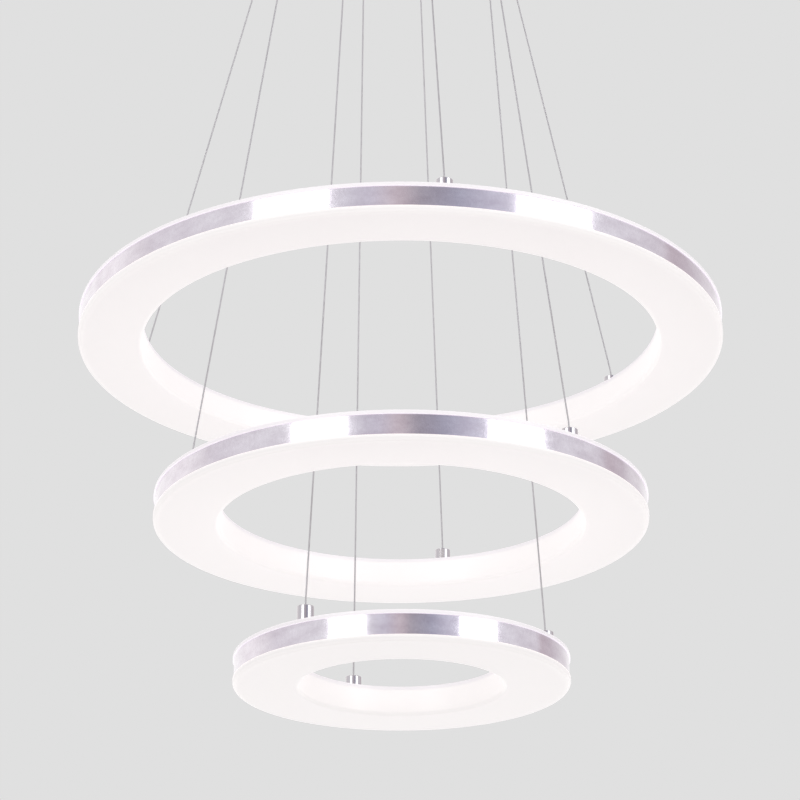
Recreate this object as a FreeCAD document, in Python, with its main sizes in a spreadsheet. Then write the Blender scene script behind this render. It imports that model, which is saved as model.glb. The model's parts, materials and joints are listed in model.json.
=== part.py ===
import FreeCAD, Part

# Three LED rings, stepped from large to small, hung on nine thin wires from a round canopy.
# Own frame: origin at the centre of the canopy's ceiling face, +Z up, so all of it hangs below
# zero. Lengths are in millimetres and angles in degrees, counted from +X. The viewer stands at -Y.

import math
import os
import re

import Sketcher
from FreeCAD import Placement, Rotation, Vector

DRIVING = (
    # the three rings
    ("LargeRingDiameter", 400.0),
    ("MediumRingDiameter", 300.0),
    ("SmallRingDiameter", 200.0),
    ("RingWidth", 39.5),
    ("RingHeight", 18.0),
    ("LargeRingDrop", 565.0),
    ("LargeToMediumStep", 115.5),
    ("MediumToSmallStep", 99.5),
    ("LargeRingAngle", -82.0),
    ("MediumRingAngle", -42.0),
    ("SmallRingAngle", -9.5),
    ("FloorThickness", 3.2),
    ("InnerWallThickness", 2.5),
    ("FloorOuterRounding", 2.8),
    ("FloorInnerRounding", 2.2),
    ("CoverThickness", 2.3),
    ("CoverRounding", 0.6),
    ("BandThickness", 1.5),
    ("BandRecess", 0.7),
    ("BoardThickness", 1.6),
    ("BoardMargin", 0.5),
    ("LedLength", 3.5),
    ("LedWidth", 2.8),
    ("LedThickness", 0.8),
    ("LargeLedCount", 54),
    ("MediumLedCount", 42),
    ("SmallLedCount", 24),
    # wire studs, their nuts and the crimps inside them
    ("WiresPerRing", 3),
    ("StudDiameter", 10.0),
    ("StudHeight", 12.0),
    ("LargeStudInset", 21.0),
    ("MediumStudInset", 19.0),
    ("SmallStudInset", 14.0),
    ("StudChamfer", 0.5),
    ("StudShankDiameter", 6.0),
    ("StudShankTail", 0.5),
    ("StudCavityDiameter", 3.2),
    ("StudRoofThickness", 2.5),
    ("StudNutFlats", 10.0),
    ("StudNutThickness", 2.5),
    ("CrimpDiameter", 2.8),
    ("CrimpLength", 4.0),
    # screws that hold cover and board down on the diffuser's bosses
    ("LargeScrewCount", 6),
    ("MediumScrewCount", 6),
    ("SmallScrewCount", 3),
    ("CoverScrewInset", 7.5),
    ("CoverScrewDiameter", 2.8),
    ("CoverScrewReach", 6.0),
    ("CoverScrewHeadDiameter", 5.5),
    ("CoverScrewHeadHeight", 1.6),
    ("BossDiameter", 7.0),
    ("BossBoreDepth", 7.0),
    # clearances between neighbours, each on the radius or the face
    ("HoleClearance", 0.1),
    ("ThreadClearance", 0.05),
    ("RunningClearance", 0.05),
    ("SeatGap", 0.05),
    ("WireClearance", 0.2),
    # canopy and what fixes it to the ceiling
    ("CanopyDiameter", 200.0),
    ("CanopyHeight", 45.0),
    ("CanopyWall", 1.2),
    ("CanopyRounding", 5.0),
    ("BracketWidth", 22.0),
    ("BracketThickness", 1.5),
    ("BracketTabHeight", 14.0),
    ("BracketSideGap", 0.3),
    ("CeilingSlotSpacing", 100.0),
    ("CeilingSlotLength", 20.0),
    ("CeilingSlotWidth", 5.0),
    ("SideScrewDiameter", 4.0),
    ("SideScrewReach", 4.0),
    ("SideScrewDrop", 8.0),
    ("SideScrewHeadDiameter", 9.0),
    ("SideScrewHeadHeight", 5.0),
    ("EarthScrewOffset", 24.0),
    ("EarthScrewDiameter", 4.0),
    ("EarthScrewTipGap", 0.2),
    ("EarthBossDiameter", 9.0),
    ("EarthBossHeight", 3.0),
    ("EarthScrewHeadDiameter", 8.0),
    ("EarthScrewHeadHeight", 2.5),
    # drivers, mains terminal and leads inside the canopy
    ("DriverWidth", 32.0),
    ("DriverHeight", 22.0),
    ("DriverCornerGap", 2.1),
    ("DriverRounding", 2.0),
    ("TapeLength", 60.0),
    ("TapeWidth", 24.0),
    ("TapeThickness", 1.0),
    ("TerminalLength", 32.0),
    ("TerminalWidth", 16.0),
    ("TerminalHeight", 9.0),
    ("TerminalBoreDiameter", 3.0),
    ("TerminalBorePitch", 9.0),
    ("LeadDiameter", 1.6),
    ("LeadLevel", 4.0),
    ("LeadPitch", 7.0),
    ("LeadBendRadius", 5.0),
    ("LeadEndRun", 5.0),
    # wire grips in the canopy floor
    ("GripFirstAngle", -81.0),
    ("GripDiameter", 10.0),
    ("GripFlangeThickness", 1.5),
    ("GripThreadDiameter", 8.0),
    ("GripThreadLength", 10.0),
    ("GripSpigotLength", 3.0),
    ("GripBoreDiameter", 2.4),
    ("GripNutFlats", 12.0),
    ("GripNutThickness", 4.0),
    ("BarrelLength", 15.0),
    ("BarrelFloor", 3.0),
    ("BarrelBoreDiameter", 6.8),
    ("BarrelChamfer", 0.5),
    ("PlungerDiameter", 5.0),
    ("PlungerReach", 3.5),
    ("PlungerChamfer", 0.4),
    ("PlungerCollarThickness", 2.0),
    ("PlungerMouthFlare", 0.4),
    ("PlungerStemDiameter", 4.0),
    ("PlungerStemLength", 5.0),
    ("SpringOuterDiameter", 5.5),
    ("SpringInnerDiameter", 4.5),
    # the wires themselves
    ("WireDiameter", 1.0),
    ("WireBendRadius", 15.0),
    ("WireBendOffset", 3.0),
    ("TailOverlap", 2.0),
    ("TailLowestLevel", 3.4),
    ("TailStep", 1.2),
    ("TailPitch", 5.0),
    ("TailBendRadius", 3.5),
    ("TailEndRun", 8.0),
)

DERIVED = (
    ("GripCount", "=3 * WiresPerRing"),
    ("LargeRingRadius", "=LargeRingDiameter / 2"),
    ("MediumRingRadius", "=MediumRingDiameter / 2"),
    ("SmallRingRadius", "=SmallRingDiameter / 2"),
    ("MediumRingDrop", "=LargeRingDrop + LargeToMediumStep"),
    ("SmallRingDrop", "=MediumRingDrop + MediumToSmallStep"),
    ("CoverSeat", "=RingHeight - CoverThickness"),
    ("BoardSeat", "=CoverSeat - BoardThickness"),
    ("BandInset", "=BandRecess + BandThickness"),
    ("StudShankRadius", "=StudShankDiameter / 2"),
    ("StudShankLength", "=CoverThickness + BoardThickness + StudNutThickness + StudShankTail"),
    ("StudTop", "=StudShankLength + StudHeight"),
    ("StudCavityRoof", "=StudTop - StudRoofThickness"),
    ("WireHoleRadius", "=WireDiameter / 2 + WireClearance"),
    ("CoverScrewShank", "=CoverThickness + BoardThickness + CoverScrewReach"),
    ("CanopyRadius", "=CanopyDiameter / 2"),
    ("CanopyBore", "=CanopyRadius - CanopyWall"),
    ("BracketLength", "=2 * sqrt((CanopyBore - BracketSideGap) ^ 2 - (BracketWidth / 2) ^ 2)"),
    ("SideScrewShank", "=CanopyRadius - BracketLength / 2 + BracketThickness + SideScrewReach"),
    ("DriverLength", "=CanopyDiameter * 0.4"),
    ("DriverOuterFace", "=sqrt((CanopyBore - DriverCornerGap) ^ 2 - (DriverLength / 2) ^ 2)"),
    ("DriverInnerFace", "=DriverOuterFace - DriverWidth"),
    ("GripCircleRadius", "=CanopyDiameter * 0.23"),
    ("GripThreadRadius", "=GripThreadDiameter / 2"),
    ("BushLength", "=GripSpigotLength + GripFlangeThickness + GripThreadLength"),
    ("BarrelTopDrop", "=CanopyHeight + GripFlangeThickness"),
    ("BarrelDrop", "=BarrelTopDrop + BarrelLength"),
    ("PlungerTipDrop", "=BarrelDrop + PlungerReach"),
    ("GripTopDrop", "=CanopyHeight - GripThreadLength"),
    ("PlungerCollarSeat", "=PlungerReach + BarrelFloor + SeatGap"),
    ("PlungerCollarTop", "=PlungerCollarSeat + PlungerCollarThickness"),
    ("PlungerLength", "=PlungerCollarTop + PlungerStemLength"),
    ("CollarRadius", "=BarrelBoreDiameter / 2 - RunningClearance"),
    ("SpringLength", "=BarrelLength - GripSpigotLength - BarrelFloor - PlungerCollarThickness - 2 * SeatGap"),
)

RINGS = ("Large", "Medium", "Small")
RING_COUNT = len(RINGS)
# A corner of a route that turns by less than this many radians is part of a straight run.
STRAIGHT_ON = 1e-4

doc = FreeCAD.newDocument("RingChandelier")
sheet = doc.addObject("Spreadsheet::Sheet", "Sizes")
nodes = []


def fill_sheet():
    """Writes every size under its own name: the driving ones first, then those worked out from them."""
    for row, (name, value) in enumerate(DRIVING + DERIVED, start=1):
        sheet.set(f"A{row}", name)
        sheet.set(f"B{row}", str(value))
        sheet.setAlias(f"B{row}", name)
    doc.recompute()


def size(name):
    return float(sheet.get(name))


def bound(formula):
    """Turns a formula in size names, such as RingWidth / 2, into one that an object can follow."""
    return re.sub(r"\b([A-Z][A-Za-z]+)", r"Sizes.\1", formula)


def worked_out(formula):
    return float(sheet.evalExpression(bound(formula)))


def follow(thing, **formulas):
    """Binds properties of an object to formulas; Placement__Base__z stands for Placement.Base.z."""
    for path, formula in formulas.items():
        thing.setExpression(path.replace("__", "."), bound(formula))


def keep(thing, label):
    """Marks an object as one of the finished sub-parts."""
    thing.Label = label
    nodes.append(thing)
    return thing


def new_sketch(body, role, name):
    plane = next(feature for feature in body.Origin.OriginFeatures if feature.Role == role)
    sketch = body.newObject("Sketcher::SketchObject", name)
    sketch.AttachmentSupport = [(plane, "")]
    sketch.MapMode = "FlatFace"
    return sketch


def place_point(sketch, geometry, point, name, across, along):
    """Ties one sketch point to its two distances from the origin."""
    for kind, formula in (("DistanceX", across), ("DistanceY", along)):
        constraint = Sketcher.Constraint(kind, -1, 1, geometry, point, worked_out(formula))
        index = sketch.addConstraint(constraint)
        sketch.renameConstraint(index, f"{name}{kind}")
        sketch.setExpression(f"Constraints.{name}{kind}", bound(formula))


def draw_outline(sketch, corners):
    """Draws a closed outline whose corners are pairs of formulas."""
    points = [Vector(worked_out(across), worked_out(along), 0) for across, along in corners]
    for start, end in zip(points, points[1:] + points[:1]):
        sketch.addGeometry(Part.LineSegment(start, end), False)
    for index in range(len(points)):
        line_before = (index - 1) % len(points)
        sketch.addConstraint(Sketcher.Constraint("Coincident", line_before, 2, index, 1))
    for index, (across, along) in enumerate(corners):
        place_point(sketch, index, 1, f"Corner{index}", across, along)


def draw_circle(sketch, across, along, radius):
    centre = Vector(worked_out(across), worked_out(along), 0)
    index = sketch.addGeometry(Part.Circle(centre, Vector(0, 0, 1), worked_out(radius)), False)
    place_point(sketch, index, 3, "Centre", across, along)
    constraint = sketch.addConstraint(Sketcher.Constraint("Radius", index, worked_out(radius)))
    sketch.renameConstraint(constraint, "Radius")
    sketch.setExpression("Constraints.Radius", bound(radius))


def turned(name, corners):
    """A body turned about its own Z axis from a profile of (radius, height) corners."""
    body = doc.addObject("PartDesign::Body", name)
    sketch = new_sketch(body, "XZ_Plane", f"{name}Profile")
    draw_outline(sketch, corners)
    revolution = body.newObject("PartDesign::Revolution", f"{name}Turned")
    revolution.Profile = sketch
    revolution.ReferenceAxis = (sketch, ["V_Axis"])
    revolution.Angle = 360
    body.Tip = revolution
    doc.recompute()
    return body


def round_edges(body, name, radius, places):
    """Rounds the circular edges that lie at each (radius, height), given as formulas."""
    base = body.Tip
    found = []
    for across, height in places:
        wanted = (worked_out(across), worked_out(height))
        for index, edge in enumerate(base.Shape.Edges, start=1):
            curve = edge.Curve
            if isinstance(curve, Part.Circle) and math.hypot(curve.Center.x, curve.Center.y) < 1e-6:
                if math.dist((curve.Radius, curve.Center.z), wanted) < 1e-6:
                    found.append(f"Edge{index}")
    fillet = body.newObject("PartDesign::Fillet", name)
    fillet.Base = (base, found)
    follow(fillet, Radius=radius)
    body.Tip = fillet
    doc.recompute()


def repeat_round(body, feature, count):
    """Repeats a feature evenly about the body's own Z axis."""
    axis = next(item for item in body.Origin.OriginFeatures if item.Role == "Z_Axis")
    pattern = body.newObject("PartDesign::PolarPattern", f"{feature.Name}Round")
    pattern.Originals = [feature]
    pattern.Axis = (axis, [""])
    pattern.Angle = 360
    follow(pattern, Occurrences=count)
    body.Tip = pattern
    doc.recompute()


def polar(circle_radius, turn):
    """The two coordinates, as formulas, of a point at a radius and an angle."""
    return f"({circle_radius}) * cos({turn} * 1deg)", f"({circle_radius}) * sin({turn} * 1deg)"


def holes_round(body, name, circle_radius, turn, radius, count):
    """Cuts even round holes through a flat piece, the first at an angle from the body's X axis."""
    sketch = new_sketch(body, "XY_Plane", f"{name}Circle")
    draw_circle(sketch, *polar(circle_radius, turn), radius)
    pocket = body.newObject("PartDesign::Pocket", name)
    pocket.Profile = sketch
    pocket.Type = "ThroughAll"
    pocket.SideType = "Symmetric"
    body.Tip = pocket
    doc.recompute()
    repeat_round(body, pocket, count)


def hang_ring_piece(body, ring, seat):
    """Places a ring's piece at its height above the ring's underside, turned as the ring is."""
    follow(body, Placement__Base__z=f"{seat} - {ring}RingDrop",
           Placement__Rotation__Angle=f"{ring}RingAngle * 1deg")


def ring_places(ring, count, circle_radius, first, height):
    """Placements evenly round one ring, from an angle counted from its first stud."""
    turn = size(f"{ring}RingAngle") + first
    return round_places(count, circle_radius, turn, height - size(f"{ring}RingDrop"))


def round_places(count, circle_radius, first, height):
    places = []
    for index in range(int(count)):
        turn = Rotation(Vector(0, 0, 1), first + 360.0 / count * index)
        places.append(Placement(turn.multVec(Vector(circle_radius, 0, height)), turn))
    return places


def grouped(label, shape, places):
    """One sub-part of several like solids, each a copy of the shape at its own place."""
    group = doc.addObject("Part::Feature", label)
    copies = []
    for place in places:
        copy = shape.copy()
        copy.Placement = place.multiply(shape.Placement)
        copies.append(copy)
    group.Shape = Part.makeCompound(copies)
    return keep(group, label)


def hexagon_nut(name, flats, bore, thickness):
    """A plain hexagon nut standing on Z = 0, with a bore along Z."""
    prism = doc.addObject("Part::Prism", f"{name}Blank")
    prism.Polygon = 6
    follow(prism, Circumradius=f"{flats} / 2 / cos(30deg)", Height=thickness)
    hole = doc.addObject("Part::Cylinder", f"{name}Bore")
    follow(hole, Radius=bore, Height=thickness)
    nut = doc.addObject("Part::Cut", name)
    nut.Base = prism
    nut.Tool = hole
    doc.recompute()
    return nut


def screw(name, head_diameter, head_height, shank_diameter, shank_length):
    """A round-headed screw pointing down, with the end of its shank at Z = 0."""
    body = turned(
        name,
        (
            ("0", "0"),
            (f"{shank_diameter} / 2", "0"),
            (f"{shank_diameter} / 2", shank_length),
            (f"{head_diameter} / 2", shank_length),
            (f"{head_diameter} / 2", f"{shank_length} + {head_height} * 0.6"),
            (f"{head_diameter} * 0.36", f"{shank_length} + {head_height}"),
            ("0", f"{shank_length} + {head_height}"),
        ),
    )
    return body


def corner_arc(before, corner, after, radius):
    """The tangent arc at a corner of a route: its two ends and its middle."""
    arriving = (corner - before).normalize()
    leaving = (after - corner).normalize()
    half_turn = arriving.getAngle(leaving) / 2
    cut_back = radius * math.tan(half_turn)
    centre_way = (leaving - arriving).normalize()
    centre = corner + centre_way * (radius / math.cos(half_turn))
    middle = centre - centre_way * radius
    return corner - arriving * cut_back, middle, corner + leaving * cut_back


def bent_tube(route, radius, diameter):
    """A round tube along straight runs joined by tangent arcs of one radius."""
    edges = []
    start = route[0]
    for before, corner, after in zip(route, route[1:], route[2:]):
        if (corner - before).getAngle(after - corner) < STRAIGHT_ON:
            continue
        arc_start, arc_middle, arc_end = corner_arc(before, corner, after, radius)
        edges.append(Part.LineSegment(start, arc_start).toShape())
        edges.append(Part.Arc(arc_start, arc_middle, arc_end).toShape())
        start = arc_end
    edges.append(Part.LineSegment(start, route[-1]).toShape())
    path = Part.Wire(edges)
    ring = Part.Wire(Part.Circle(route[0], route[1] - route[0], diameter / 2).toShape())
    tube = path.makePipeShell([ring], True, False)
    if tube.ShapeType != "Solid":
        tube = Part.Solid(tube)
    return tube, path.Length


def at(radius, turn, height):
    return Vector(radius * math.cos(math.radians(turn)), radius * math.sin(math.radians(turn)), height)


def make_diffuser(ring):
    """Opal moulding: the glowing floor, its inner wall and the bosses that take the cover screws."""
    outer = f"{ring}RingRadius"
    inner = f"{outer} - RingWidth"
    body = turned(
        f"{ring}Diffuser",
        (
            (inner, "0"),
            (outer, "0"),
            (outer, "FloorThickness"),
            (f"{inner} + InnerWallThickness", "FloorThickness"),
            (f"{inner} + InnerWallThickness", "CoverSeat"),
            (inner, "CoverSeat"),
        ),
    )
    round_edges(body, f"{ring}DiffuserOuterRounding", "FloorOuterRounding", ((outer, "0"),))
    round_edges(body, f"{ring}DiffuserInnerRounding", "FloorInnerRounding", ((inner, "0"),))
    across, along = polar(f"{outer} - CoverScrewInset", f"180 / {ring}ScrewCount")
    boss_sketch = new_sketch(body, "XY_Plane", f"{ring}BossCircle")
    follow(boss_sketch, AttachmentOffset__Base__z="FloorThickness")
    draw_circle(boss_sketch, across, along, "BossDiameter / 2")
    boss = body.newObject("PartDesign::Pad", f"{ring}Boss")
    boss.Profile = boss_sketch
    follow(boss, Length="BoardSeat - FloorThickness")
    body.Tip = boss
    doc.recompute()
    repeat_round(body, boss, f"{ring}ScrewCount")
    bore_sketch = new_sketch(body, "XY_Plane", f"{ring}BossBoreCircle")
    follow(bore_sketch, AttachmentOffset__Base__z="BoardSeat")
    draw_circle(bore_sketch, across, along, "CoverScrewDiameter / 2 + ThreadClearance")
    bore = body.newObject("PartDesign::Pocket", f"{ring}BossBore")
    bore.Profile = bore_sketch
    follow(bore, Length="BossBoreDepth")
    body.Tip = bore
    doc.recompute()
    repeat_round(body, bore, f"{ring}ScrewCount")
    hang_ring_piece(body, ring, "0")
    return keep(body, f"{ring.lower()}_diffuser")


def drill_ring_plate(body, ring):
    """The stud holes and cover screw holes that cover and board share."""
    outer = f"{ring}RingRadius"
    holes_round(body, f"{body.Name}StudHoles", f"{outer} - {ring}StudInset", "0",
                "StudShankRadius + HoleClearance", "WiresPerRing")
    holes_round(body, f"{body.Name}ScrewHoles", f"{outer} - CoverScrewInset", f"180 / {ring}ScrewCount",
                "CoverScrewDiameter / 2 + HoleClearance", f"{ring}ScrewCount")


def make_top_cover(ring):
    """Flat opal plate that closes the ring; its edge is the upper lip above the band."""
    outer = f"{ring}RingRadius"
    inner = f"{outer} - RingWidth"
    body = turned(
        f"{ring}Cover",
        ((inner, "0"), (outer, "0"), (outer, "CoverThickness"), (inner, "CoverThickness")),
    )
    round_edges(body, f"{ring}CoverRounding", "CoverRounding", ((outer, "CoverThickness"),))
    drill_ring_plate(body, ring)
    hang_ring_piece(body, ring, "CoverSeat")
    return keep(body, f"{ring.lower()}_top_cover")


def make_outer_band(ring):
    """Polished metal hoop, set back a little between the two opal lips."""
    face = f"{ring}RingRadius - BandRecess"
    back = f"{ring}RingRadius - BandInset"
    body = turned(
        f"{ring}Band",
        ((back, "FloorThickness"), (face, "FloorThickness"), (face, "CoverSeat"), (back, "CoverSeat")),
    )
    hang_ring_piece(body, ring, "0")
    return keep(body, f"{ring.lower()}_outer_band")


def make_led_board(ring):
    """Flat aluminium circuit board held up against the cover."""
    inner = f"{ring}RingRadius - RingWidth + InnerWallThickness + BoardMargin"
    outer = f"{ring}RingRadius - BandInset - BoardMargin"
    body = turned(
        f"{ring}Board",
        ((inner, "0"), (outer, "0"), (outer, "BoardThickness"), (inner, "BoardThickness")),
    )
    drill_ring_plate(body, ring)
    hang_ring_piece(body, ring, "BoardSeat")
    return keep(body, f"{ring.lower()}_led_board")


def make_leds(ring, led):
    """The LEDs under the board, along its middle, with none over a stud."""
    count = int(size(f"{ring}LedCount"))
    radius = size(f"{ring}RingRadius") - size("RingWidth") / 2
    height = size("BoardSeat") - size("LedThickness")
    places = ring_places(ring, count, radius, 180.0 / count, height)
    return grouped(f"{ring.lower()}_leds", led.Shape, places)


def make_ring_hardware(ring, stud, nut, crimp, cover_screw):
    """Studs, nuts, crimps and cover screws of one ring."""
    label = ring.lower()
    studs = size("WiresPerRing")
    circle = size(f"{ring}RingRadius") - size(f"{ring}StudInset")
    top = size("RingHeight")
    shank_end = top - size("StudShankLength")
    cavity_roof = shank_end + size("StudCavityRoof")
    nut_seat = size("BoardSeat") - size("StudNutThickness")
    grouped(f"{label}_wire_studs", stud.Shape, ring_places(ring, studs, circle, 0, shank_end))
    grouped(f"{label}_stud_nuts", nut.Shape, ring_places(ring, studs, circle, 0, nut_seat))
    grouped(f"{label}_wire_crimps", crimp.Shape,
            ring_places(ring, studs, circle, 0, cavity_roof - size("CrimpLength")))
    screws = size(f"{ring}ScrewCount")
    screw_circle = size(f"{ring}RingRadius") - size("CoverScrewInset")
    screw_places = ring_places(ring, screws, screw_circle, 180.0 / screws, top - size("CoverScrewShank"))
    grouped(f"{label}_cover_screws", cover_screw.Shape, screw_places)


def make_rings():
    led = doc.addObject("Part::Box", "Led")
    follow(led, Length="LedWidth", Width="LedLength", Height="LedThickness",
           Placement__Base__x="0 - LedWidth / 2", Placement__Base__y="0 - LedLength / 2")
    doc.recompute()
    stud = turned(
        "Stud",
        (
            ("StudCavityDiameter / 2", "0"),
            ("StudShankRadius", "0"),
            ("StudShankRadius", "StudShankLength"),
            ("StudDiameter / 2", "StudShankLength"),
            ("StudDiameter / 2", "StudTop - StudChamfer"),
            ("StudDiameter / 2 - StudChamfer", "StudTop"),
            ("WireHoleRadius", "StudTop"),
            ("WireHoleRadius", "StudCavityRoof"),
            ("StudCavityDiameter / 2", "StudCavityRoof"),
        ),
    )
    nut = hexagon_nut("StudNut", "StudNutFlats", "StudShankRadius + ThreadClearance", "StudNutThickness")
    crimp = turned(
        "Crimp",
        (("0", "0"), ("CrimpDiameter / 2", "0"), ("CrimpDiameter / 2", "CrimpLength"), ("0", "CrimpLength")),
    )
    cover_screw = screw("CoverScrew", "CoverScrewHeadDiameter", "CoverScrewHeadHeight",
                        "CoverScrewDiameter", "CoverScrewShank")
    for ring in RINGS:
        make_diffuser(ring)
        make_top_cover(ring)
        make_outer_band(ring)
        make_led_board(ring)
        make_leds(ring, led)
        make_ring_hardware(ring, stud, nut, crimp, cover_screw)


def make_canopy_cover():
    """Round polished cup that stands rim-up against the ceiling."""
    body = turned(
        "Canopy",
        (
            ("0", "0"),
            ("CanopyRadius", "0"),
            ("CanopyRadius", "CanopyHeight"),
            ("CanopyBore", "CanopyHeight"),
            ("CanopyBore", "CanopyWall"),
            ("0", "CanopyWall"),
        ),
    )
    round_edges(body, "CanopyOuterRounding", "CanopyRounding", (("CanopyRadius", "0"),))
    round_edges(body, "CanopyInnerRounding", "CanopyRounding - CanopyWall", (("CanopyBore", "CanopyWall"),))
    sketch = new_sketch(body, "XY_Plane", "GripHoleCircle")
    draw_circle(sketch, *polar("GripCircleRadius", "GripFirstAngle"), "GripThreadRadius + HoleClearance")
    hole = body.newObject("PartDesign::Pocket", "GripHole")
    hole.Profile = sketch
    hole.Reversed = True
    follow(hole, Length="CanopyWall + CanopyRounding")
    body.Tip = hole
    doc.recompute()
    repeat_round(body, hole, "GripCount")
    side_sketch = new_sketch(body, "YZ_Plane", "SideHoleCircle")
    draw_circle(side_sketch, "0", "CanopyHeight - SideScrewDrop", "SideScrewDiameter / 2 + HoleClearance")
    side_holes = body.newObject("PartDesign::Pocket", "SideHoles")
    side_holes.Profile = side_sketch
    side_holes.Type = "ThroughAll"
    side_holes.SideType = "Symmetric"
    body.Tip = side_holes
    follow(body, Placement__Base__z="0 - CanopyHeight")
    return keep(body, "canopy_cover")


def box(name, sizes, corner):
    """A block of three sizes from its lowest corner, all given as formulas."""
    block = doc.addObject("Part::Box", name)
    length, width, height = sizes
    across, along, up = corner
    follow(block, Length=length, Width=width, Height=height,
           Placement__Base__x=across, Placement__Base__y=along, Placement__Base__z=up)
    return block


def cylinder(name, radius, length, start, lying_along=None):
    """A rod from its start point, standing along Z unless it lies along X or Y."""
    rod = doc.addObject("Part::Cylinder", name)
    turns = {None: Rotation(), "X": Rotation(Vector(0, 1, 0), 90), "Y": Rotation(Vector(1, 0, 0), -90)}
    rod.Placement = Placement(Vector(), turns[lying_along])
    across, along, up = start
    follow(rod, Radius=radius, Height=length,
           Placement__Base__x=across, Placement__Base__y=along, Placement__Base__z=up)
    return rod


def joined(name, pieces):
    union = doc.addObject("Part::MultiFuse", name)
    union.Shapes = pieces
    union.Refine = True
    return union


def cut(name, base, tools):
    remainder = doc.addObject("Part::Cut", name)
    remainder.Base = base
    remainder.Tool = tools[0] if len(tools) == 1 else joined(f"{name}Tools", tools)
    return remainder


def slot_tool(name, across):
    """A round-ended slot along X, centred at a distance from the axis."""
    radius = "CeilingSlotWidth / 2"
    straight = "CeilingSlotLength - CeilingSlotWidth"
    depth = "BracketThickness * 3"
    floor = "0 - BracketThickness * 2"
    middle = box(f"{name}Middle", (straight, "CeilingSlotWidth", depth),
                 (f"{across} - ({straight}) / 2", f"0 - {radius}", floor))
    ends = [
        cylinder(f"{name}End{side}", radius, depth, (f"{across} + {way} * ({straight}) / 2", "0", floor))
        for side, way in (("Low", "-1"), ("High", "1"))
    ]
    return joined(name, [middle, *ends])


def make_ceiling_bracket():
    """Steel strip across the canopy, with an ear bent down at each end for a side screw."""
    strip = box("BracketStrip", ("BracketLength", "BracketWidth", "BracketThickness"),
                ("0 - BracketLength / 2", "0 - BracketWidth / 2", "0 - BracketThickness"))
    ear_sizes = ("BracketThickness", "BracketWidth", "BracketTabHeight")
    ears = [
        box("BracketEarLow", ear_sizes,
            ("0 - BracketLength / 2", "0 - BracketWidth / 2", "0 - BracketTabHeight")),
        box("BracketEarHigh", ear_sizes,
            ("BracketLength / 2 - BracketThickness", "0 - BracketWidth / 2", "0 - BracketTabHeight")),
    ]
    screw_bore = cylinder("BracketScrewBore", "SideScrewDiameter / 2 + ThreadClearance", "BracketLength * 2",
                          ("0 - BracketLength", "0", "0 - SideScrewDrop"), "X")
    earth_depth = "BracketThickness + EarthBossHeight"
    earth_boss = cylinder("BracketEarthBoss", "EarthBossDiameter / 2", earth_depth,
                          ("EarthScrewOffset", "0", f"0 - ({earth_depth})"))
    earth_bore = cylinder("BracketEarthBore", "EarthScrewDiameter / 2 + ThreadClearance",
                          f"({earth_depth}) * 2",
                          ("EarthScrewOffset", "0", f"0 - ({earth_depth}) * 1.5"))
    slots = [
        slot_tool("SlotLow", "0 - CeilingSlotSpacing / 2"),
        slot_tool("SlotHigh", "CeilingSlotSpacing / 2"),
    ]
    blank = joined("BracketBlank", [strip, *ears, earth_boss])
    bracket = cut("Bracket", blank, [screw_bore, earth_bore, *slots])
    return keep(bracket, "ceiling_bracket")


def make_canopy_screws():
    """Side screws, driven inwards through the canopy's wall into the bracket's ears."""
    side = screw("SideScrew", "SideScrewHeadDiameter", "SideScrewHeadHeight",
                 "SideScrewDiameter", "SideScrewShank")
    reach = size("CanopyRadius") - size("SideScrewShank")
    places = []
    for turn in (0, 180):
        outwards = Rotation(Vector(0, 0, 1), turn).multiply(Rotation(Vector(0, 1, 0), 90))
        places.append(Placement(at(reach, turn, -size("SideScrewDrop")), outwards))
    grouped("canopy_side_screws", side.Shape, places)
    earth = screw("EarthScrew", "EarthScrewHeadDiameter", "EarthScrewHeadHeight", "EarthScrewDiameter",
                  "EarthBossHeight + BracketThickness - EarthScrewTipGap")
    upwards = Rotation(Vector(1, 0, 0), 180)
    tip = Vector(size("EarthScrewOffset"), 0, -size("EarthScrewTipGap"))
    grouped("earth_screw", earth.Shape, [Placement(tip, upwards)])


def driver_turn(index):
    """Each driver sits half-way between two grips, a third of a turn from the next."""
    step = 360.0 / size("GripCount")
    return size("GripFirstAngle") + step * 3.5 + 360.0 / RING_COUNT * index


def make_drivers():
    """One driver for each ring, taped to the canopy's floor."""
    floor = size("CanopyWall") - size("CanopyHeight")
    block = box("DriverBlock", ("DriverWidth", "DriverLength", "DriverHeight"),
                ("DriverInnerFace", "0 - DriverLength / 2", "0"))
    doc.recompute()
    rounded = doc.addObject("Part::Fillet", "DriverRounded")
    rounded.Base = block
    upright = [
        index for index, edge in enumerate(block.Shape.Edges, start=1)
        if abs(edge.Vertexes[0].Z - edge.Vertexes[-1].Z) > 1e-6
    ]
    rounding = size("DriverRounding")
    rounded.Edges = [(index, rounding, rounding) for index in upright]
    tape = box("Tape", ("TapeWidth", "TapeLength", "TapeThickness"),
               ("DriverInnerFace + (DriverWidth - TapeWidth) / 2", "0 - TapeLength / 2", "0"))
    doc.recompute()
    tapes = []
    for index, ring in enumerate(RINGS):
        turn = Rotation(Vector(0, 0, 1), driver_turn(index))
        driver_place = Placement(Vector(0, 0, floor + size("TapeThickness")), turn)
        grouped(f"{ring.lower()}_ring_driver", rounded.Shape, [driver_place])
        tapes.append(Placement(Vector(0, 0, floor), turn))
    grouped("driver_tapes", tape.Shape, tapes)


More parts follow.
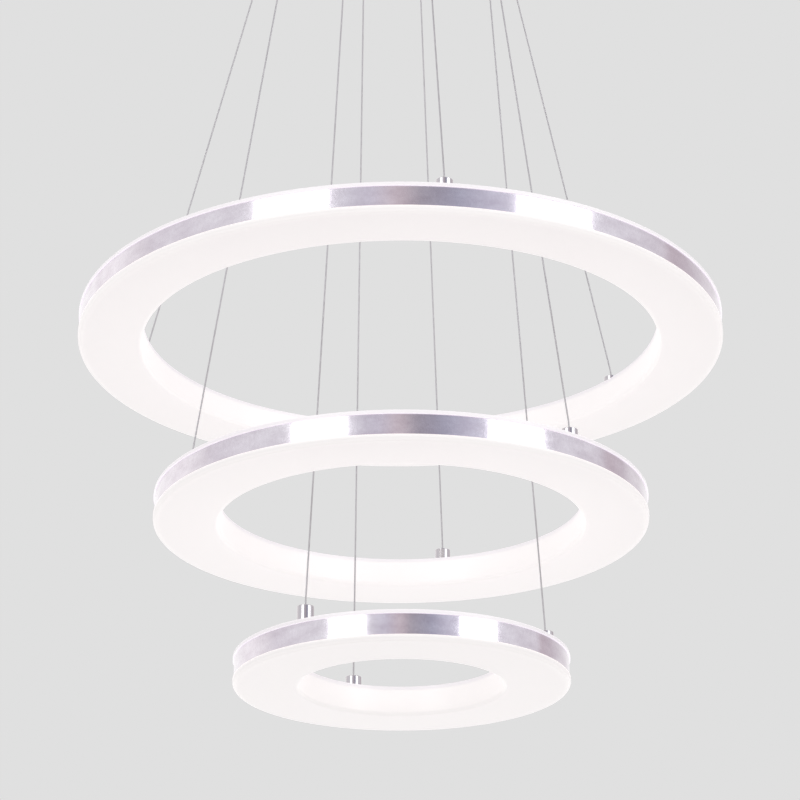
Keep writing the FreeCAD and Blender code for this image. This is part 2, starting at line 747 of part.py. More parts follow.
def make_terminal_block():
    """Screw terminal for the mains, on the canopy's floor between the grips."""
    floor = "CanopyWall - CanopyHeight"
    block = box("TerminalBlank", ("TerminalLength", "TerminalWidth", "TerminalHeight"),
                ("0 - TerminalLength / 2", "0 - TerminalWidth / 2", floor))
    tools = []
    for index in (-1, 0, 1):
        across = f"TerminalBorePitch * {index}"
        tools.append(cylinder(f"TerminalScrewWell{index + 2}", "TerminalBoreDiameter / 2",
                              "TerminalHeight / 2",
                              (across, "0", f"{floor} + TerminalHeight / 2 + SeatGap")))
    return keep(cut("Terminal", block, tools), "mains_terminal_block")


def make_mains_leads():
    """Two leads from the terminal block to each driver, laid low between the grips' nuts."""
    level = size("CanopyWall") - size("CanopyHeight") + size("LeadLevel")
    half_length = size("TerminalLength") / 2
    half_width = size("TerminalWidth") / 2
    run = size("LeadEndRun")
    face = size("DriverInnerFace")
    starts = (
        (Vector(size("TerminalBorePitch"), half_width, level), Vector(0, 1, 0)),
        (Vector(-half_length, 0, level), Vector(-1, 0, 0)),
        (Vector(size("TerminalBorePitch"), -half_width, level), Vector(0, -1, 0)),
    )
    tubes = []
    for index, (start, away) in enumerate(starts):
        turn = Rotation(Vector(0, 0, 1), driver_turn(index))
        sideways = Vector(-away.y, away.x, 0)
        for side in (-0.5, 0.5):
            offset = size("LeadPitch") * side
            first = start + sideways * offset
            last = turn.multVec(Vector(face, offset, 0)) + Vector(0, 0, level)
            into_driver = turn.multVec(Vector(1, 0, 0))
            route = [first, first + away * run, last - into_driver * run, last]
            tubes.append(bent_tube(route, size("LeadBendRadius"), size("LeadDiameter"))[0])
    leads = doc.addObject("Part::Feature", "MainsLeads")
    leads.Shape = Part.makeCompound(tubes)
    return keep(leads, "mains_leads")


def grip_turn(ring_index, wire_index):
    """The angle of a wire's grip: the rings take turns round the circle of grips."""
    return (
        size("GripFirstAngle")
        + 360.0 / size("GripCount") * ring_index
        + 360.0 / size("WiresPerRing") * wire_index
    )


def make_grips():
    """Fixed pieces of the wire grips: threaded insulating bushes, nuts, barrels and springs."""
    circle = size("GripCircleRadius")
    first = size("GripFirstAngle")
    count = size("GripCount")
    bush = turned(
        "GripBush",
        (
            ("GripBoreDiameter / 2", "0"),
            ("CollarRadius", "0"),
            ("CollarRadius", "GripSpigotLength"),
            ("GripDiameter / 2", "GripSpigotLength"),
            ("GripDiameter / 2", "GripSpigotLength + GripFlangeThickness"),
            ("GripThreadRadius", "GripSpigotLength + GripFlangeThickness"),
            ("GripThreadRadius", "BushLength"),
            ("GripBoreDiameter / 2", "BushLength"),
        ),
    )
    barrel = turned(
        "GripBarrel",
        (
            ("PlungerDiameter / 2 + RunningClearance", "0"),
            ("GripDiameter / 2 - BarrelChamfer", "0"),
            ("GripDiameter / 2", "BarrelChamfer"),
            ("GripDiameter / 2", "BarrelLength"),
            ("BarrelBoreDiameter / 2", "BarrelLength"),
            ("BarrelBoreDiameter / 2", "BarrelFloor"),
            ("PlungerDiameter / 2 + RunningClearance", "BarrelFloor"),
        ),
    )
    spring = turned(
        "GripSpring",
        (
            ("SpringInnerDiameter / 2", "0"),
            ("SpringOuterDiameter / 2", "0"),
            ("SpringOuterDiameter / 2", "SpringLength"),
            ("SpringInnerDiameter / 2", "SpringLength"),
        ),
    )
    nut = hexagon_nut("GripNut", "GripNutFlats", "GripThreadRadius + ThreadClearance", "GripNutThickness")
    bush_bottom = -size("BarrelTopDrop") - size("GripSpigotLength")
    spring_bottom = bush_bottom - size("SpringLength")
    nut_seat = size("CanopyWall") - size("CanopyHeight")
    grouped("grip_bushes", bush.Shape, round_places(count, circle, first, bush_bottom))
    grouped("grip_barrels", barrel.Shape, round_places(count, circle, first, -size("BarrelDrop")))
    grouped("grip_springs", spring.Shape, round_places(count, circle, first, spring_bottom))
    grouped("grip_nuts", nut.Shape, round_places(count, circle, first, nut_seat))


def make_plungers():
    """The press-to-release plungers, one for each wire, each a sub-part of its own because it moves."""
    plunger = turned(
        "Plunger",
        (
            ("WireHoleRadius + PlungerMouthFlare", "0"),
            ("PlungerDiameter / 2 - PlungerChamfer", "0"),
            ("PlungerDiameter / 2", "PlungerChamfer"),
            ("PlungerDiameter / 2", "PlungerCollarSeat"),
            ("CollarRadius", "PlungerCollarSeat"),
            ("CollarRadius", "PlungerCollarTop"),
            ("PlungerStemDiameter / 2", "PlungerCollarTop"),
            ("PlungerStemDiameter / 2", "PlungerLength"),
            ("WireHoleRadius", "PlungerLength"),
            ("WireHoleRadius", "PlungerMouthFlare"),
        ),
    )
    for ring_index, ring in enumerate(RINGS):
        for wire_index in range(int(size("WiresPerRing"))):
            axis = at(size("GripCircleRadius"), grip_turn(ring_index, wire_index), -size("PlungerTipDrop"))
            grouped(f"{ring.lower()}_plunger_{wire_index + 1}", plunger.Shape, [Placement(axis, Rotation())])


def make_wires():
    """The free stretch of each wire: upright in its stud, straight and taut, upright in its grip."""
    bend = size("WireBendOffset")
    for ring_index, ring in enumerate(RINGS):
        ring_top = size("RingHeight") - size(f"{ring}RingDrop")
        stud_circle = size(f"{ring}RingRadius") - size(f"{ring}StudInset")
        crimp_top = ring_top + size("StudHeight") - size("StudRoofThickness")
        for wire_index in range(int(size("WiresPerRing"))):
            stud_turn = size(f"{ring}RingAngle") + 360.0 / size("WiresPerRing") * wire_index
            turn = grip_turn(ring_index, wire_index)
            route = [
                at(stud_circle, stud_turn, crimp_top),
                at(stud_circle, stud_turn, ring_top + size("StudHeight") + bend),
                at(size("GripCircleRadius"), turn, -size("PlungerTipDrop") - bend),
                at(size("GripCircleRadius"), turn, -size("GripTopDrop") - size("TailOverlap")),
            ]
            tube, length = bent_tube(route, size("WireBendRadius"), size("WireDiameter"))
            wire = doc.addObject("Part::Feature", f"{ring}Wire{wire_index + 1}")
            wire.Shape = tube
            keep(wire, f"{ring.lower()}_wire_{wire_index + 1}")
            section = math.pi * size("WireDiameter") ** 2 / 4
            bulk = tube.Volume / (section * length)
            print(f"{wire.Label}: {length:.1f} mm long, bend radius {size('WireBendRadius'):.0f} mm, "
                  f"volume over section times length {bulk:.4f}")


# How far to the side of its driver's middle each ring's tails arrive, in steps of TailPitch.
TAIL_SIDES = {"Large": (0, 1, -1), "Medium": (-1, 1, 0), "Small": (-1, 0, 1)}


def make_wire_tails():
    """Each wire's tail, from its grip up to a level of its own and across to its ring's driver."""
    tubes = []
    start_height = -size("GripTopDrop") - size("TailOverlap")
    for ring_index, ring in enumerate(RINGS):
        turn = Rotation(Vector(0, 0, 1), driver_turn(ring_index))
        for wire_index, side in enumerate(TAIL_SIDES[ring]):
            order = ring_index * RING_COUNT + wire_index
            level = -size("GripTopDrop") + size("TailLowestLevel") + size("TailStep") * order
            across = size("TailPitch") * side
            entry = turn.multVec(Vector(size("DriverInnerFace"), across, level))
            before_entry = turn.multVec(Vector(size("DriverInnerFace") - size("TailEndRun"), across, level))
            grip = grip_turn(ring_index, wire_index)
            route = [
                at(size("GripCircleRadius"), grip, start_height),
                at(size("GripCircleRadius"), grip, level),
                before_entry,
                entry,
            ]
            tubes.append(bent_tube(route, size("TailBendRadius"), size("WireDiameter"))[0])
    tails = doc.addObject("Part::Feature", "WireTails")
    tails.Shape = Part.makeCompound(tubes)
    return keep(tails, "wire_tails")


def check_and_write():
    """Stops on anything that failed, then writes each sub-part to a file of its own."""
    doc.recompute()
    failed = [thing.Name for thing in doc.Objects if {"Invalid", "Error"} & set(thing.State)]
    for node in nodes:
        if node.Shape.isNull() or not node.Shape.isValid() or not node.Shape.Solids:
            failed.append(node.Label)
    if failed:
        raise RuntimeError(f"these did not build: {sorted(set(failed))}")
    os.makedirs("parts", exist_ok=True)
    for node in nodes:
        node.Shape.exportStep(f"parts/{node.Label}.step")
    print(f"{len(nodes)} sub-parts written")


def main():
    fill_sheet()
    make_rings()
    make_canopy_cover()
    make_ceiling_bracket()
    make_canopy_screws()
    make_drivers()
    make_terminal_block()
    make_mains_leads()
    make_grips()
    make_plungers()
    make_wires()
    make_wire_tails()
    check_and_write()


main()
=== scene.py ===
import json
import math
from collections import namedtuple

import bmesh
import bpy
from mathutils import Matrix, Vector


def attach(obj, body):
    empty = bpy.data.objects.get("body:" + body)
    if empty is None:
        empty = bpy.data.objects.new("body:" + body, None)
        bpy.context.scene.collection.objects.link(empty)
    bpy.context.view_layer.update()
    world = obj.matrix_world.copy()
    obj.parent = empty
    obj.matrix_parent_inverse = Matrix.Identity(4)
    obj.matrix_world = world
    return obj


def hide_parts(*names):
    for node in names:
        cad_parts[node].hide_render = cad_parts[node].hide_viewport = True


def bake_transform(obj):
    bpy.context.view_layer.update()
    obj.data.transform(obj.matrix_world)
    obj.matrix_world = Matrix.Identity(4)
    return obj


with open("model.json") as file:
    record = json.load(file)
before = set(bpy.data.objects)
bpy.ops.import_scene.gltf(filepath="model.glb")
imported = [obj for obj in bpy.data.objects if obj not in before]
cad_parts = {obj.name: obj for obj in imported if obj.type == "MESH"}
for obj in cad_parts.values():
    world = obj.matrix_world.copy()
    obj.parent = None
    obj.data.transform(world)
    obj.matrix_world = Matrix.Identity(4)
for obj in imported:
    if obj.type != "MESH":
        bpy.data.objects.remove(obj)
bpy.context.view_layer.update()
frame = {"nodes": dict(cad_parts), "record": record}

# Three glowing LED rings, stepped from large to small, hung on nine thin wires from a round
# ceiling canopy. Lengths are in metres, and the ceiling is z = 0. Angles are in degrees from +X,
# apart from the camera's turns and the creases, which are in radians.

# ---------------------------------------------------------------- sizes shared with the solids
# A ring's drop is from the ceiling to its underside, and its angle is its first stud's.
Ring = namedtuple("Ring", "radius drop angle stud_circle screws")
RINGS = {
    "large": Ring(0.200, 0.5650, -82.0, 0.179, 6),
    "medium": Ring(0.150, 0.6805, -42.0, 0.131, 6),
    "small": Ring(0.100, 0.7800, -9.5, 0.086, 3),
}
RING_WIDTH = 0.0395
RING_HEIGHT = 0.018
STUD_HEIGHT = 0.012
WIRES_PER_RING = 3
WIRE_DIAMETER = 0.001
GRIP_CIRCLE = 0.046
GRIP_FIRST_ANGLE = -81.0
GRIP_STEP = 40.0
PLUNGER_TIP = -0.065
GRIP_TOP = -0.037


def round_axis(radius, angle, height):
    """The point at a radius and an angle from the lamp's axis."""
    turn = math.radians(angle)
    return Vector((radius * math.cos(turn), radius * math.sin(turn), height))


def stud_top(ring):
    """The height of the tops of a ring's studs."""
    return RING_HEIGHT + STUD_HEIGHT - ring.drop


def grip_angle(name, index):
    """The angle of one wire's grip; index counts its ring's wires from 0."""
    order = list(RINGS).index(name)
    return GRIP_FIRST_ANGLE + GRIP_STEP * order + 360.0 / WIRES_PER_RING * index


def link(thing):
    """Adds an object to the scene and gives it back."""
    bpy.context.scene.collection.objects.link(thing)
    return thing


# ---------------------------------------------------------------- camera
# The focal length is in millimetres.
FOCAL_LENGTH = 111.14
CAMERA_PLACE = (0.0, -1.41586, -1.174)
CAMERA_PITCH = 0.3877
CAMERA_YAW = 0.0003
CAMERA_ROLL = -0.0033


def make_camera():
    """The camera at the photograph's viewing angle."""
    lens = bpy.data.cameras.new("Camera")
    lens.lens = FOCAL_LENGTH
    camera = link(bpy.data.objects.new("Camera", lens))
    camera.matrix_world = (
        Matrix.Translation(CAMERA_PLACE)
        @ Matrix.Rotation(CAMERA_YAW, 4, "Z")
        @ Matrix.Rotation(math.pi / 2 + CAMERA_PITCH, 4, "X")
        @ Matrix.Rotation(CAMERA_ROLL, 4, "Z")
    )
    bpy.context.scene.camera = camera


# ---------------------------------------------------------------- nodes of materials and geometry
class Signal:
    """One output of a node. Arithmetic on it adds Math nodes to the same tree."""

    def __init__(self, nodes, socket):
        self.nodes = nodes
        self.socket = socket

    def __getitem__(self, name):
        """Another output of the same node."""
        return Signal(self.nodes, self.socket.node.outputs[name])

    def maths(self, operation, *values):
        """One Math node on values and signals."""
        return self.nodes.add("ShaderNodeMath", {"operation": operation}, dict(enumerate(values)))

    def __add__(self, other):
        return self.maths("ADD", self, other)

    def __sub__(self, other):
        return self.maths("SUBTRACT", self, other)

    def __mul__(self, other):
        return self.maths("MULTIPLY", self, other)

    def __rsub__(self, other):
        return self.maths("SUBTRACT", other, self)

    def __gt__(self, other):
        return self.maths("GREATER_THAN", self, other)

    def __truediv__(self, other):
        return self.maths("DIVIDE", self, other)

    __radd__ = __add__
    __rmul__ = __mul__

    def wave(self):
        """Turned into its sine."""
        return self.maths("SINE", self)

    def eased(self, near, far, first, last):
        """Goes smoothly from first to last while the signal goes from near to far."""
        return self.nodes.add("ShaderNodeMapRange", {"interpolation_type": "SMOOTHSTEP"}, {
            "Value": self, "From Min": near, "From Max": far, "To Min": first, "To Max": last})

    def ramped(self, *stops):
        """Turned into a grey or a colour by a ramp of (position, colour) stops."""
        return self.nodes.add("ShaderNodeValToRGB", {"stops": stops}, {"Fac": self})


class Nodes:
    """The nodes of one tree, all added by one method."""

    def __init__(self, tree):
        self.tree = tree

    def add(self, kind, settings=None, inputs=None, output=0):
        """One node of a kind: its settings first, then its sockets' values or links."""
        node = self.tree.nodes.new(kind)
        for name, value in (settings or {}).items():
            if name == "stops":
                self.set_stops(node.color_ramp, value)
            else:
                setattr(node, name, value)
        for name, value in (inputs or {}).items():
            if isinstance(value, Signal):
                self.tree.links.new(value.socket, node.inputs[name])
            else:
                node.inputs[name].default_value = value
        return Signal(self, node.outputs[output]) if len(node.outputs) else node

    @staticmethod
    def set_stops(ramp, stops):
        """Gives a colour ramp its stops of (position, grey or colour)."""
        while len(ramp.elements) < len(stops):
            ramp.elements.new(0.5)
        for element, (position, colour) in zip(ramp.elements, stops):
            element.position = position
            grey = not isinstance(colour, tuple)
            element.color = (colour, colour, colour, 1.0) if grey else (*colour, 1.0)


class Paint(Nodes):
    """The material of one slot, laid out from the object's own coordinates."""

    def __init__(self, slot):
        self.material = bpy.data.materials.new(slot)
        self.material.use_nodes = True
        super().__init__(self.material.node_tree)
        self.tree.nodes.clear()
        self.place = self.add("ShaderNodeTexCoord", output="Object")

    def noise(self, grain, detail=2.0, stretch=(1, 1, 1)):
        """Soft noise whose blotches are about a grain, in metres, across."""
        stretched = self.add("ShaderNodeMapping", {}, {"Vector": self.place, "Scale": stretch})
        return self.add("ShaderNodeTexNoise", {}, {
            "Vector": stretched, "Scale": 1 / grain, "Detail": detail})

    def blend(self, factor, first, second):
        """A colour between two others: the first where the factor is 0, the second where it is 1."""
        return self.add("ShaderNodeMix", {"data_type": "RGBA"}, {
            0: factor, 6: self.opaque(first), 7: self.opaque(second)}, output=2)

    def bumps(self, height, depth, strength):
        """Fine relief from a signal; depth is in metres."""
        return self.add("ShaderNodeBump", {}, {
            "Height": height, "Distance": depth, "Strength": strength})

    @staticmethod
    def opaque(colour):
        """A colour with its alpha; anything else comes back as it is."""
        return (*colour, 1.0) if isinstance(colour, tuple) and len(colour) == 3 else colour

    def surface(self, **sockets):
        """Ends the material in one surface; Base_Color stands for the socket Base Color."""
        named = {name.replace("_", " "): self.opaque(value) for name, value in sockets.items()}
        shader = self.add("ShaderNodeBsdfPrincipled", {}, named)
        self.add("ShaderNodeOutputMaterial", {}, {"Surface": shader})
        return self.material


# ---------------------------------------------------------------- finishes
OPAL_COLOUR = (0.86, 0.84, 0.835)
OPAL_GLOW = (0.388, 0.366, 0.360)
COVER_GLOW = (0.232, 0.212, 0.236)

# Places on a ring's opal: its outer edge, the shoulder inside that edge, the lip round the ring's
# hole, the hole's wall, and wherever it faces down. A share of 1 is the opal's plain glow; the others
# paint shade on the outer edge and the wall, and paint light on the shoulder, the lip and the plate's
# underside.
Places = namedtuple("Places", "edge shoulder lip wall beneath")
BODY_PAINTED_LIGHT_AND_SHADE = Places(0.68, 1.09, 1.07, 0.775, 1.0)
PLATE_PAINTED_LIGHT = Places(1.0, 1.0, 1.0, 1.0, 2.6)

# The stretch over which each share gives way: the first two in millimetres from the outer edge, the
# next two in millimetres from the hole's wall, and the last by the upward part of the normal.
PAINTED_LIGHT_ZONES = Places((0.0, 1.0), (2.4, 4.8), (3.2, 1.4), (0.7, 0.02), (-0.9, -0.6))

WIRE_STRANDS = 6
STRAND_PITCH = 0.009

# Polished metals, as (colour, roughness).
POLISHED = {
    "canopy_chrome": ((0.78, 0.78, 0.80), 0.05),
    "fitting_chrome": ((0.62, 0.605, 0.62), 0.08),
    "plunger_chrome": ((0.80, 0.80, 0.82), 0.08),
}

# Brushed and plated metals, as (colour, roughness, grain, how the grain is stretched).
ROUND_GRAIN = (1, 1, 0.2)
BRUSHED = {
    "bracket_steel": ((0.62, 0.63, 0.64), 0.32, 0.0009, (0.08, 1, 1)),
    "brass_fitting": ((0.72, 0.56, 0.28), 0.3, 0.0006, ROUND_GRAIN),
    "spring_steel": ((0.60, 0.60, 0.62), 0.28, 0.0004, (1, 1, 1)),
    "nut_steel": ((0.66, 0.66, 0.67), 0.32, 0.0006, ROUND_GRAIN),
    "screw_steel": ((0.70, 0.70, 0.71), 0.26, 0.0005, ROUND_GRAIN),
}

# Mouldings, tape and board, as (colour, roughness, grain).
MOULDED = {
    "foam_tape": ((0.05, 0.05, 0.05), 0.85, 0.0006),
    "terminal_plastic": ((0.90, 0.88, 0.83), 0.4, 0.0011),
    "lead_insulation": ((0.62, 0.62, 0.60), 0.5, 0.0008),
    "bush_plastic": ((0.88, 0.88, 0.86), 0.4, 0.0011),
    "driver_plastic": ((0.88, 0.87, 0.86), 0.42, 0.0011),
    "led_board": ((0.90, 0.90, 0.90), 0.35, 0.0011),
}


def darkened(colour, share):
    """A colour brought down to a share of itself."""
    return tuple(part * share for part in colour)


def polished_metal(slot, colour, roughness):
    """Plated metal: mirror-like, with faint smudges and hairline polishing marks."""
    paint = Paint(slot)
    smudges = paint.noise(0.03, detail=3.0)
    marks = paint.noise(0.0012, detail=4.0, stretch=(1, 1, 0.12))
    return paint.surface(
        Base_Color=paint.blend(smudges, darkened(colour, 0.86), colour),
        Metallic=1.0,
        Roughness=roughness + smudges * 0.05 + marks * 0.03,
        Normal=paint.bumps(marks, depth=0.00001, strength=0.25),
    )


def brushed_metal(slot, colour, roughness, grain, stretch):
    """Plain steel, aluminium or zinc plating with a drawn grain and a blotchy sheen."""
    paint = Paint(slot)
    lines = paint.noise(grain, detail=3.0, stretch=stretch)
    blotches = paint.noise(0.011, detail=4.0)
    return paint.surface(
        Base_Color=paint.blend(blotches * 0.6 + lines * 0.4, darkened(colour, 0.74), colour),
        Metallic=1.0,
        Roughness=roughness - 0.1 + blotches * 0.12 + lines * 0.1,
        Normal=paint.bumps(lines, depth=0.00003, strength=0.5),
    )


def moulded_plastic(slot, colour, roughness, grain):
    """Matt or satin moulding with a fine spark-eroded grain."""
    paint = Paint(slot)
    texture = paint.noise(grain)
    shade = paint.noise(0.02)
    return paint.surface(
        Base_Color=paint.blend(shade, darkened(colour, 0.93), colour),
        Roughness=roughness - 0.06 + texture * 0.12,
        Normal=paint.bumps(texture, depth=0.00004, strength=0.4),
    )


def satin_opal(paint, colour, lit):
    """Ends an opal finish: satin acrylic lit from inside."""
    grain = paint.noise(0.0007)
    return paint.surface(
        Base_Color=colour,
        Roughness=0.34 + grain * 0.08,
        Emission_Color=lit,
        Emission_Strength=1.0,
        Normal=paint.bumps(grain, depth=0.00002, strength=0.3),
    )


def opal(slot, colour, glow):
    """Lit opal acrylic: satin white, with the light a little uneven from the lamps behind it."""
    paint = Paint(slot)
    cloud = paint.noise(0.028)
    return satin_opal(paint, colour, paint.blend(cloud, darkened(glow, 0.97), glow))


def ring_opal(name, slot, glow, painted_light_and_shade):
    """Lit opal of one ring, with painted light and shade in its glow near its edges and beneath."""
    paint = Paint(f"{slot}_{name}")
    parts = paint.add("ShaderNodeSeparateXYZ", {}, {"Vector": paint.place})
    flat = paint.add("ShaderNodeCombineXYZ", {}, {"X": parts["X"], "Y": parts["Y"]})
    reach = paint.add("ShaderNodeVectorMath", {"operation": "LENGTH"}, {0: flat}, output="Value")
    inset = (RINGS[name].radius - reach) * 1000
    width = RING_WIDTH * 1000
    facing = paint.add("ShaderNodeNewGeometry", output="Normal")
    upwards = paint.add("ShaderNodeSeparateXYZ", {}, {"Vector": facing})["Z"]
    lip_starts, lip_ends = (width - inwards for inwards in PAINTED_LIGHT_ZONES.lip)
    wall_starts, wall_ends = (width - inwards for inwards in PAINTED_LIGHT_ZONES.wall)
    # The glow's shares paint shade on the outer edge and the wall, and paint light on the shoulder, the
    # lip and the plate's underside.
    share = (
        inset.eased(*PAINTED_LIGHT_ZONES.edge, painted_light_and_shade.edge, 1.0)
        * inset.eased(*PAINTED_LIGHT_ZONES.shoulder, painted_light_and_shade.shoulder, 1.0)
        * inset.eased(lip_starts, lip_ends, 1.0, painted_light_and_shade.lip)
        * inset.eased(wall_starts, wall_ends, 1.0, painted_light_and_shade.wall)
        * upwards.eased(*PAINTED_LIGHT_ZONES.beneath, painted_light_and_shade.beneath, 1.0)
        * (0.985 + paint.noise(0.028) * 0.03)
    )
    lit = paint.add("ShaderNodeVectorMath", {"operation": "SCALE"}, {0: glow, "Scale": share})
    return satin_opal(paint, OPAL_COLOUR, lit)


def band_metal(slot):
    """The rings' polished hoop: lilac-grey, finely ground, with cloudy patches and bright specks."""
    paint = Paint(slot)
    clouds = paint.noise(0.014, detail=4.0, stretch=(1, 1, 2.2))
    grinding = paint.noise(0.0009, detail=4.0, stretch=(1, 1, 0.45))
    specks = paint.noise(0.0022)
    tone = clouds * 0.64 + grinding * 0.18 + specks * 0.18
    patches = tone.ramped((0.32, 0.0), (0.68, 1.0))
    return paint.surface(
        Base_Color=paint.blend(patches, (0.63, 0.59, 0.64), (0.79, 0.77, 0.81)),
        Metallic=1.0,
        Roughness=0.09 + grinding * 0.08,
        Normal=paint.bumps(grinding, depth=0.00001, strength=0.3),
    )


def stranded_wire(slot):
    """Thin steel wire whose strands wind round it, read from the tube's own UV map."""
    paint = Paint(slot)
    along = paint.add("ShaderNodeUVMap", {"uv_map": "along"})
    parts = paint.add("ShaderNodeSeparateXYZ", {}, {"Vector": along})
    full_turn = 2 * math.pi * WIRE_STRANDS
    strands = (parts["X"] * full_turn + parts["Y"] * (full_turn / STRAND_PITCH)).wave()
    wear = paint.noise(0.004)
    return paint.surface(
        Base_Color=paint.blend(wear, (0.45, 0.44, 0.45), (0.58, 0.57, 0.58)),
        Metallic=0.6,
        Roughness=0.34 + wear * 0.12,
        Normal=paint.bumps(strands, depth=0.00006, strength=0.8),
    )


def make_finishes():
    """One material for each slot of the record."""
    found = {
        "opal_diffuser": opal("opal_diffuser", OPAL_COLOUR, OPAL_GLOW),
        "opal_cover": opal("opal_cover", OPAL_COLOUR, COVER_GLOW),
        "led_lens": opal("led_lens", (0.90, 0.78, 0.40), (0.9, 0.8, 0.55)),
        "band_metal": band_metal("band_metal"),
        "wire_steel": stranded_wire("wire_steel"),
    }
    for maker, table in ((polished_metal, POLISHED), (brushed_metal, BRUSHED), (moulded_plastic, MOULDED)):
        for slot, values in table.items():
            found[slot] = maker(slot, *values)
    return found


# ---------------------------------------------------------------- wires
CRIMP_DEPTH = 0.0025
BEND_REACH = 0.003
BESIDE_BEND = 6 * WIRE_DIAMETER


def wire_points(name, index):
    """The route of one wire: out of its crimp, past two slight bends, up into its grip."""
    ring = RINGS[name]
    stud_angle = ring.angle + 360.0 / WIRES_PER_RING * index
    lower_bend = round_axis(ring.stud_circle, stud_angle, stud_top(ring) + BEND_REACH)
    upper_bend = round_axis(GRIP_CIRCLE, grip_angle(name, index), PLUNGER_TIP - BEND_REACH)
    way = (upper_bend - lower_bend).normalized()
    return [
        round_axis(ring.stud_circle, stud_angle, stud_top(ring) - CRIMP_DEPTH),
        lower_bend,
        lower_bend + way * BESIDE_BEND,
        upper_bend - way * BESIDE_BEND,
        upper_bend,
        round_axis(GRIP_CIRCLE, grip_angle(name, index), GRIP_TOP),
    ]


def spline_points(points, steps):
    """Points read along a smooth NURBS curve through the route."""
    line = bpy.data.curves.new("route", "CURVE")
    line.dimensions = "3D"
    spline = line.splines.new("NURBS")
    spline.points.add(len(points) - 1)
    for control, point in zip(spline.points, points):
        control.co = (*point, 1.0)
    spline.order_u = 3
    spline.use_endpoint_u = True
    spline.resolution_u = steps
    holder = link(bpy.data.objects.new("route", line))
    bpy.context.view_layer.update()
    evaluated = holder.evaluated_get(bpy.context.evaluated_depsgraph_get())
    mesh = bpy.data.meshes.new_from_object(evaluated)
    found = [vertex.co.copy() for vertex in mesh.vertices]
    bpy.data.objects.remove(holder)
    bpy.data.meshes.remove(mesh)
    bpy.data.curves.remove(line)
    return found


def add_tube(mesh, points, diameter, sides):
    """Adds a round tube along points, with a UV map in turns round it and metres along it."""
    along = mesh.loops.layers.uv.get("along") or mesh.loops.layers.uv.new("along")
    first_way = points[1] - points[0]
    across = first_way.orthogonal().normalized()
    rings = []
    travelled = [0.0]
    for index, point in enumerate(points):
        before = points[max(index - 1, 0)]
        after = points[min(index + 1, len(points) - 1)]
        way = (after - before).normalized()
        across = (across - way * across.dot(way)).normalized()
        other = way.cross(across)
        ring = []
        for side in range(sides):
            turn = 2 * math.pi * side / sides
            offset = (across * math.cos(turn) + other * math.sin(turn)) * (diameter / 2)
            ring.append(mesh.verts.new(point + offset))
        rings.append(ring)
        if index:
            travelled.append(travelled[-1] + (point - points[index - 1]).length)
    for step, (low, high) in enumerate(zip(rings, rings[1:])):
        for side in range(sides):
            following = (side + 1) % sides
            face = mesh.faces.new((low[side], low[following], high[following], high[side]))
            face.smooth = True
            places = ((side, step), (side + 1, step), (side + 1, step + 1), (side, step + 1))
            for loop, (turn, stop) in zip(face.loops, places):
                loop[along].uv = (turn / sides, travelled[stop])
    mesh.faces.new(list(reversed(rings[0])))
    mesh.faces.new(rings[-1])


def finished(mesh, name):
    """Turns a built-up mesh into data with its faces pointing outwards."""
    bmesh.ops.recalc_face_normals(mesh, faces=mesh.faces)
    data = bpy.data.meshes.new(name)
    mesh.to_mesh(data)
    mesh.free()
    return data


def tubes(name, routes, diameter, sides, steps=16):
    """Smooth round tubes along several routes, as one mesh."""
    mesh = bmesh.new()
    for route in routes:
        add_tube(mesh, spline_points(route, steps), diameter, sides)
    return finished(mesh, name)


def make_wires():
    """Each wire as a round tube from inside its ring's stud up into its grip."""
    for name, ring in RINGS.items():
        for index in range(WIRES_PER_RING):
            node = f"{name}_wire_{index + 1}"
            route = spline_points(wire_points(name, index), steps=40)
            mesh = bmesh.new()
            add_tube(mesh, route, WIRE_DIAMETER, sides=12)
            wire = link(bpy.data.objects.new(f"{name}_steel_wire_{index + 1}", finished(mesh, node)))
            wire.data.materials.append(finishes["wire_steel"])
            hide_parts(node)
            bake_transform(wire)


# ---------------------------------------------------------------- turned forms and their copies
TURNING_CIRCLE = 0.1
MERGE_DISTANCE = 0.000002
COIL_STEPS = 20
COIL_SIDES = 8

# How far past an arc's end the flat beside it gets a point, as a share of the arc's reach.
FLAT_MARGIN = 1.3

# Roundings of turned edges: a broken arris, an eased edge and a full one.
ARRIS = 0.0002
EASED_EDGE = 0.0003
FULL_EDGE = 0.0006


def grow(tree, start, **values):
    """Runs a geometry tree on a starting mesh and gives the plain mesh that it makes."""
    seed = link(bpy.data.objects.new("seed", start))
    growth = seed.modifiers.new("growth", "NODES")
    growth.node_group = tree
    for item in tree.interface.items_tree:
        if item.in_out == "INPUT" and item.name in values:
            growth[item.identifier] = values[item.name]
    return settled(seed)


def settled(holder):
    """The mesh of an object with its modifiers worked in; the object goes."""
    bpy.context.view_layer.update()
    evaluated = holder.evaluated_get(bpy.context.evaluated_depsgraph_get())
    mesh = bpy.data.meshes.new_from_object(evaluated)
    holder.modifiers.clear()
    bpy.data.objects.remove(holder)
    return mesh


def new_tree(name, **inputs):
    """An empty geometry tree with named inputs, and the signal that they come from."""
    tree = bpy.data.node_groups.new(name, "GeometryNodeTree")
    tree.interface.new_socket("Geometry", in_out="INPUT", socket_type="NodeSocketGeometry")
    for label, kind in inputs.items():
        tree.interface.new_socket(label, in_out="INPUT", socket_type=f"NodeSocket{kind}")
    tree.interface.new_socket("Geometry", in_out="OUTPUT", socket_type="NodeSocketGeometry")
    nodes = Nodes(tree)
    return nodes, nodes.add("NodeGroupInput", output="Geometry")


def end_tree(nodes, geometry, given):
    """Ends a tree in real meshes with their material."""
    real = nodes.add("GeometryNodeRealizeInstances", {}, {"Geometry": geometry})
    painted = nodes.add("GeometryNodeSetMaterial", {}, {"Geometry": real, "Material": given["Material"]})
    nodes.add("NodeGroupOutput", {}, {"Geometry": painted})
    return nodes.tree


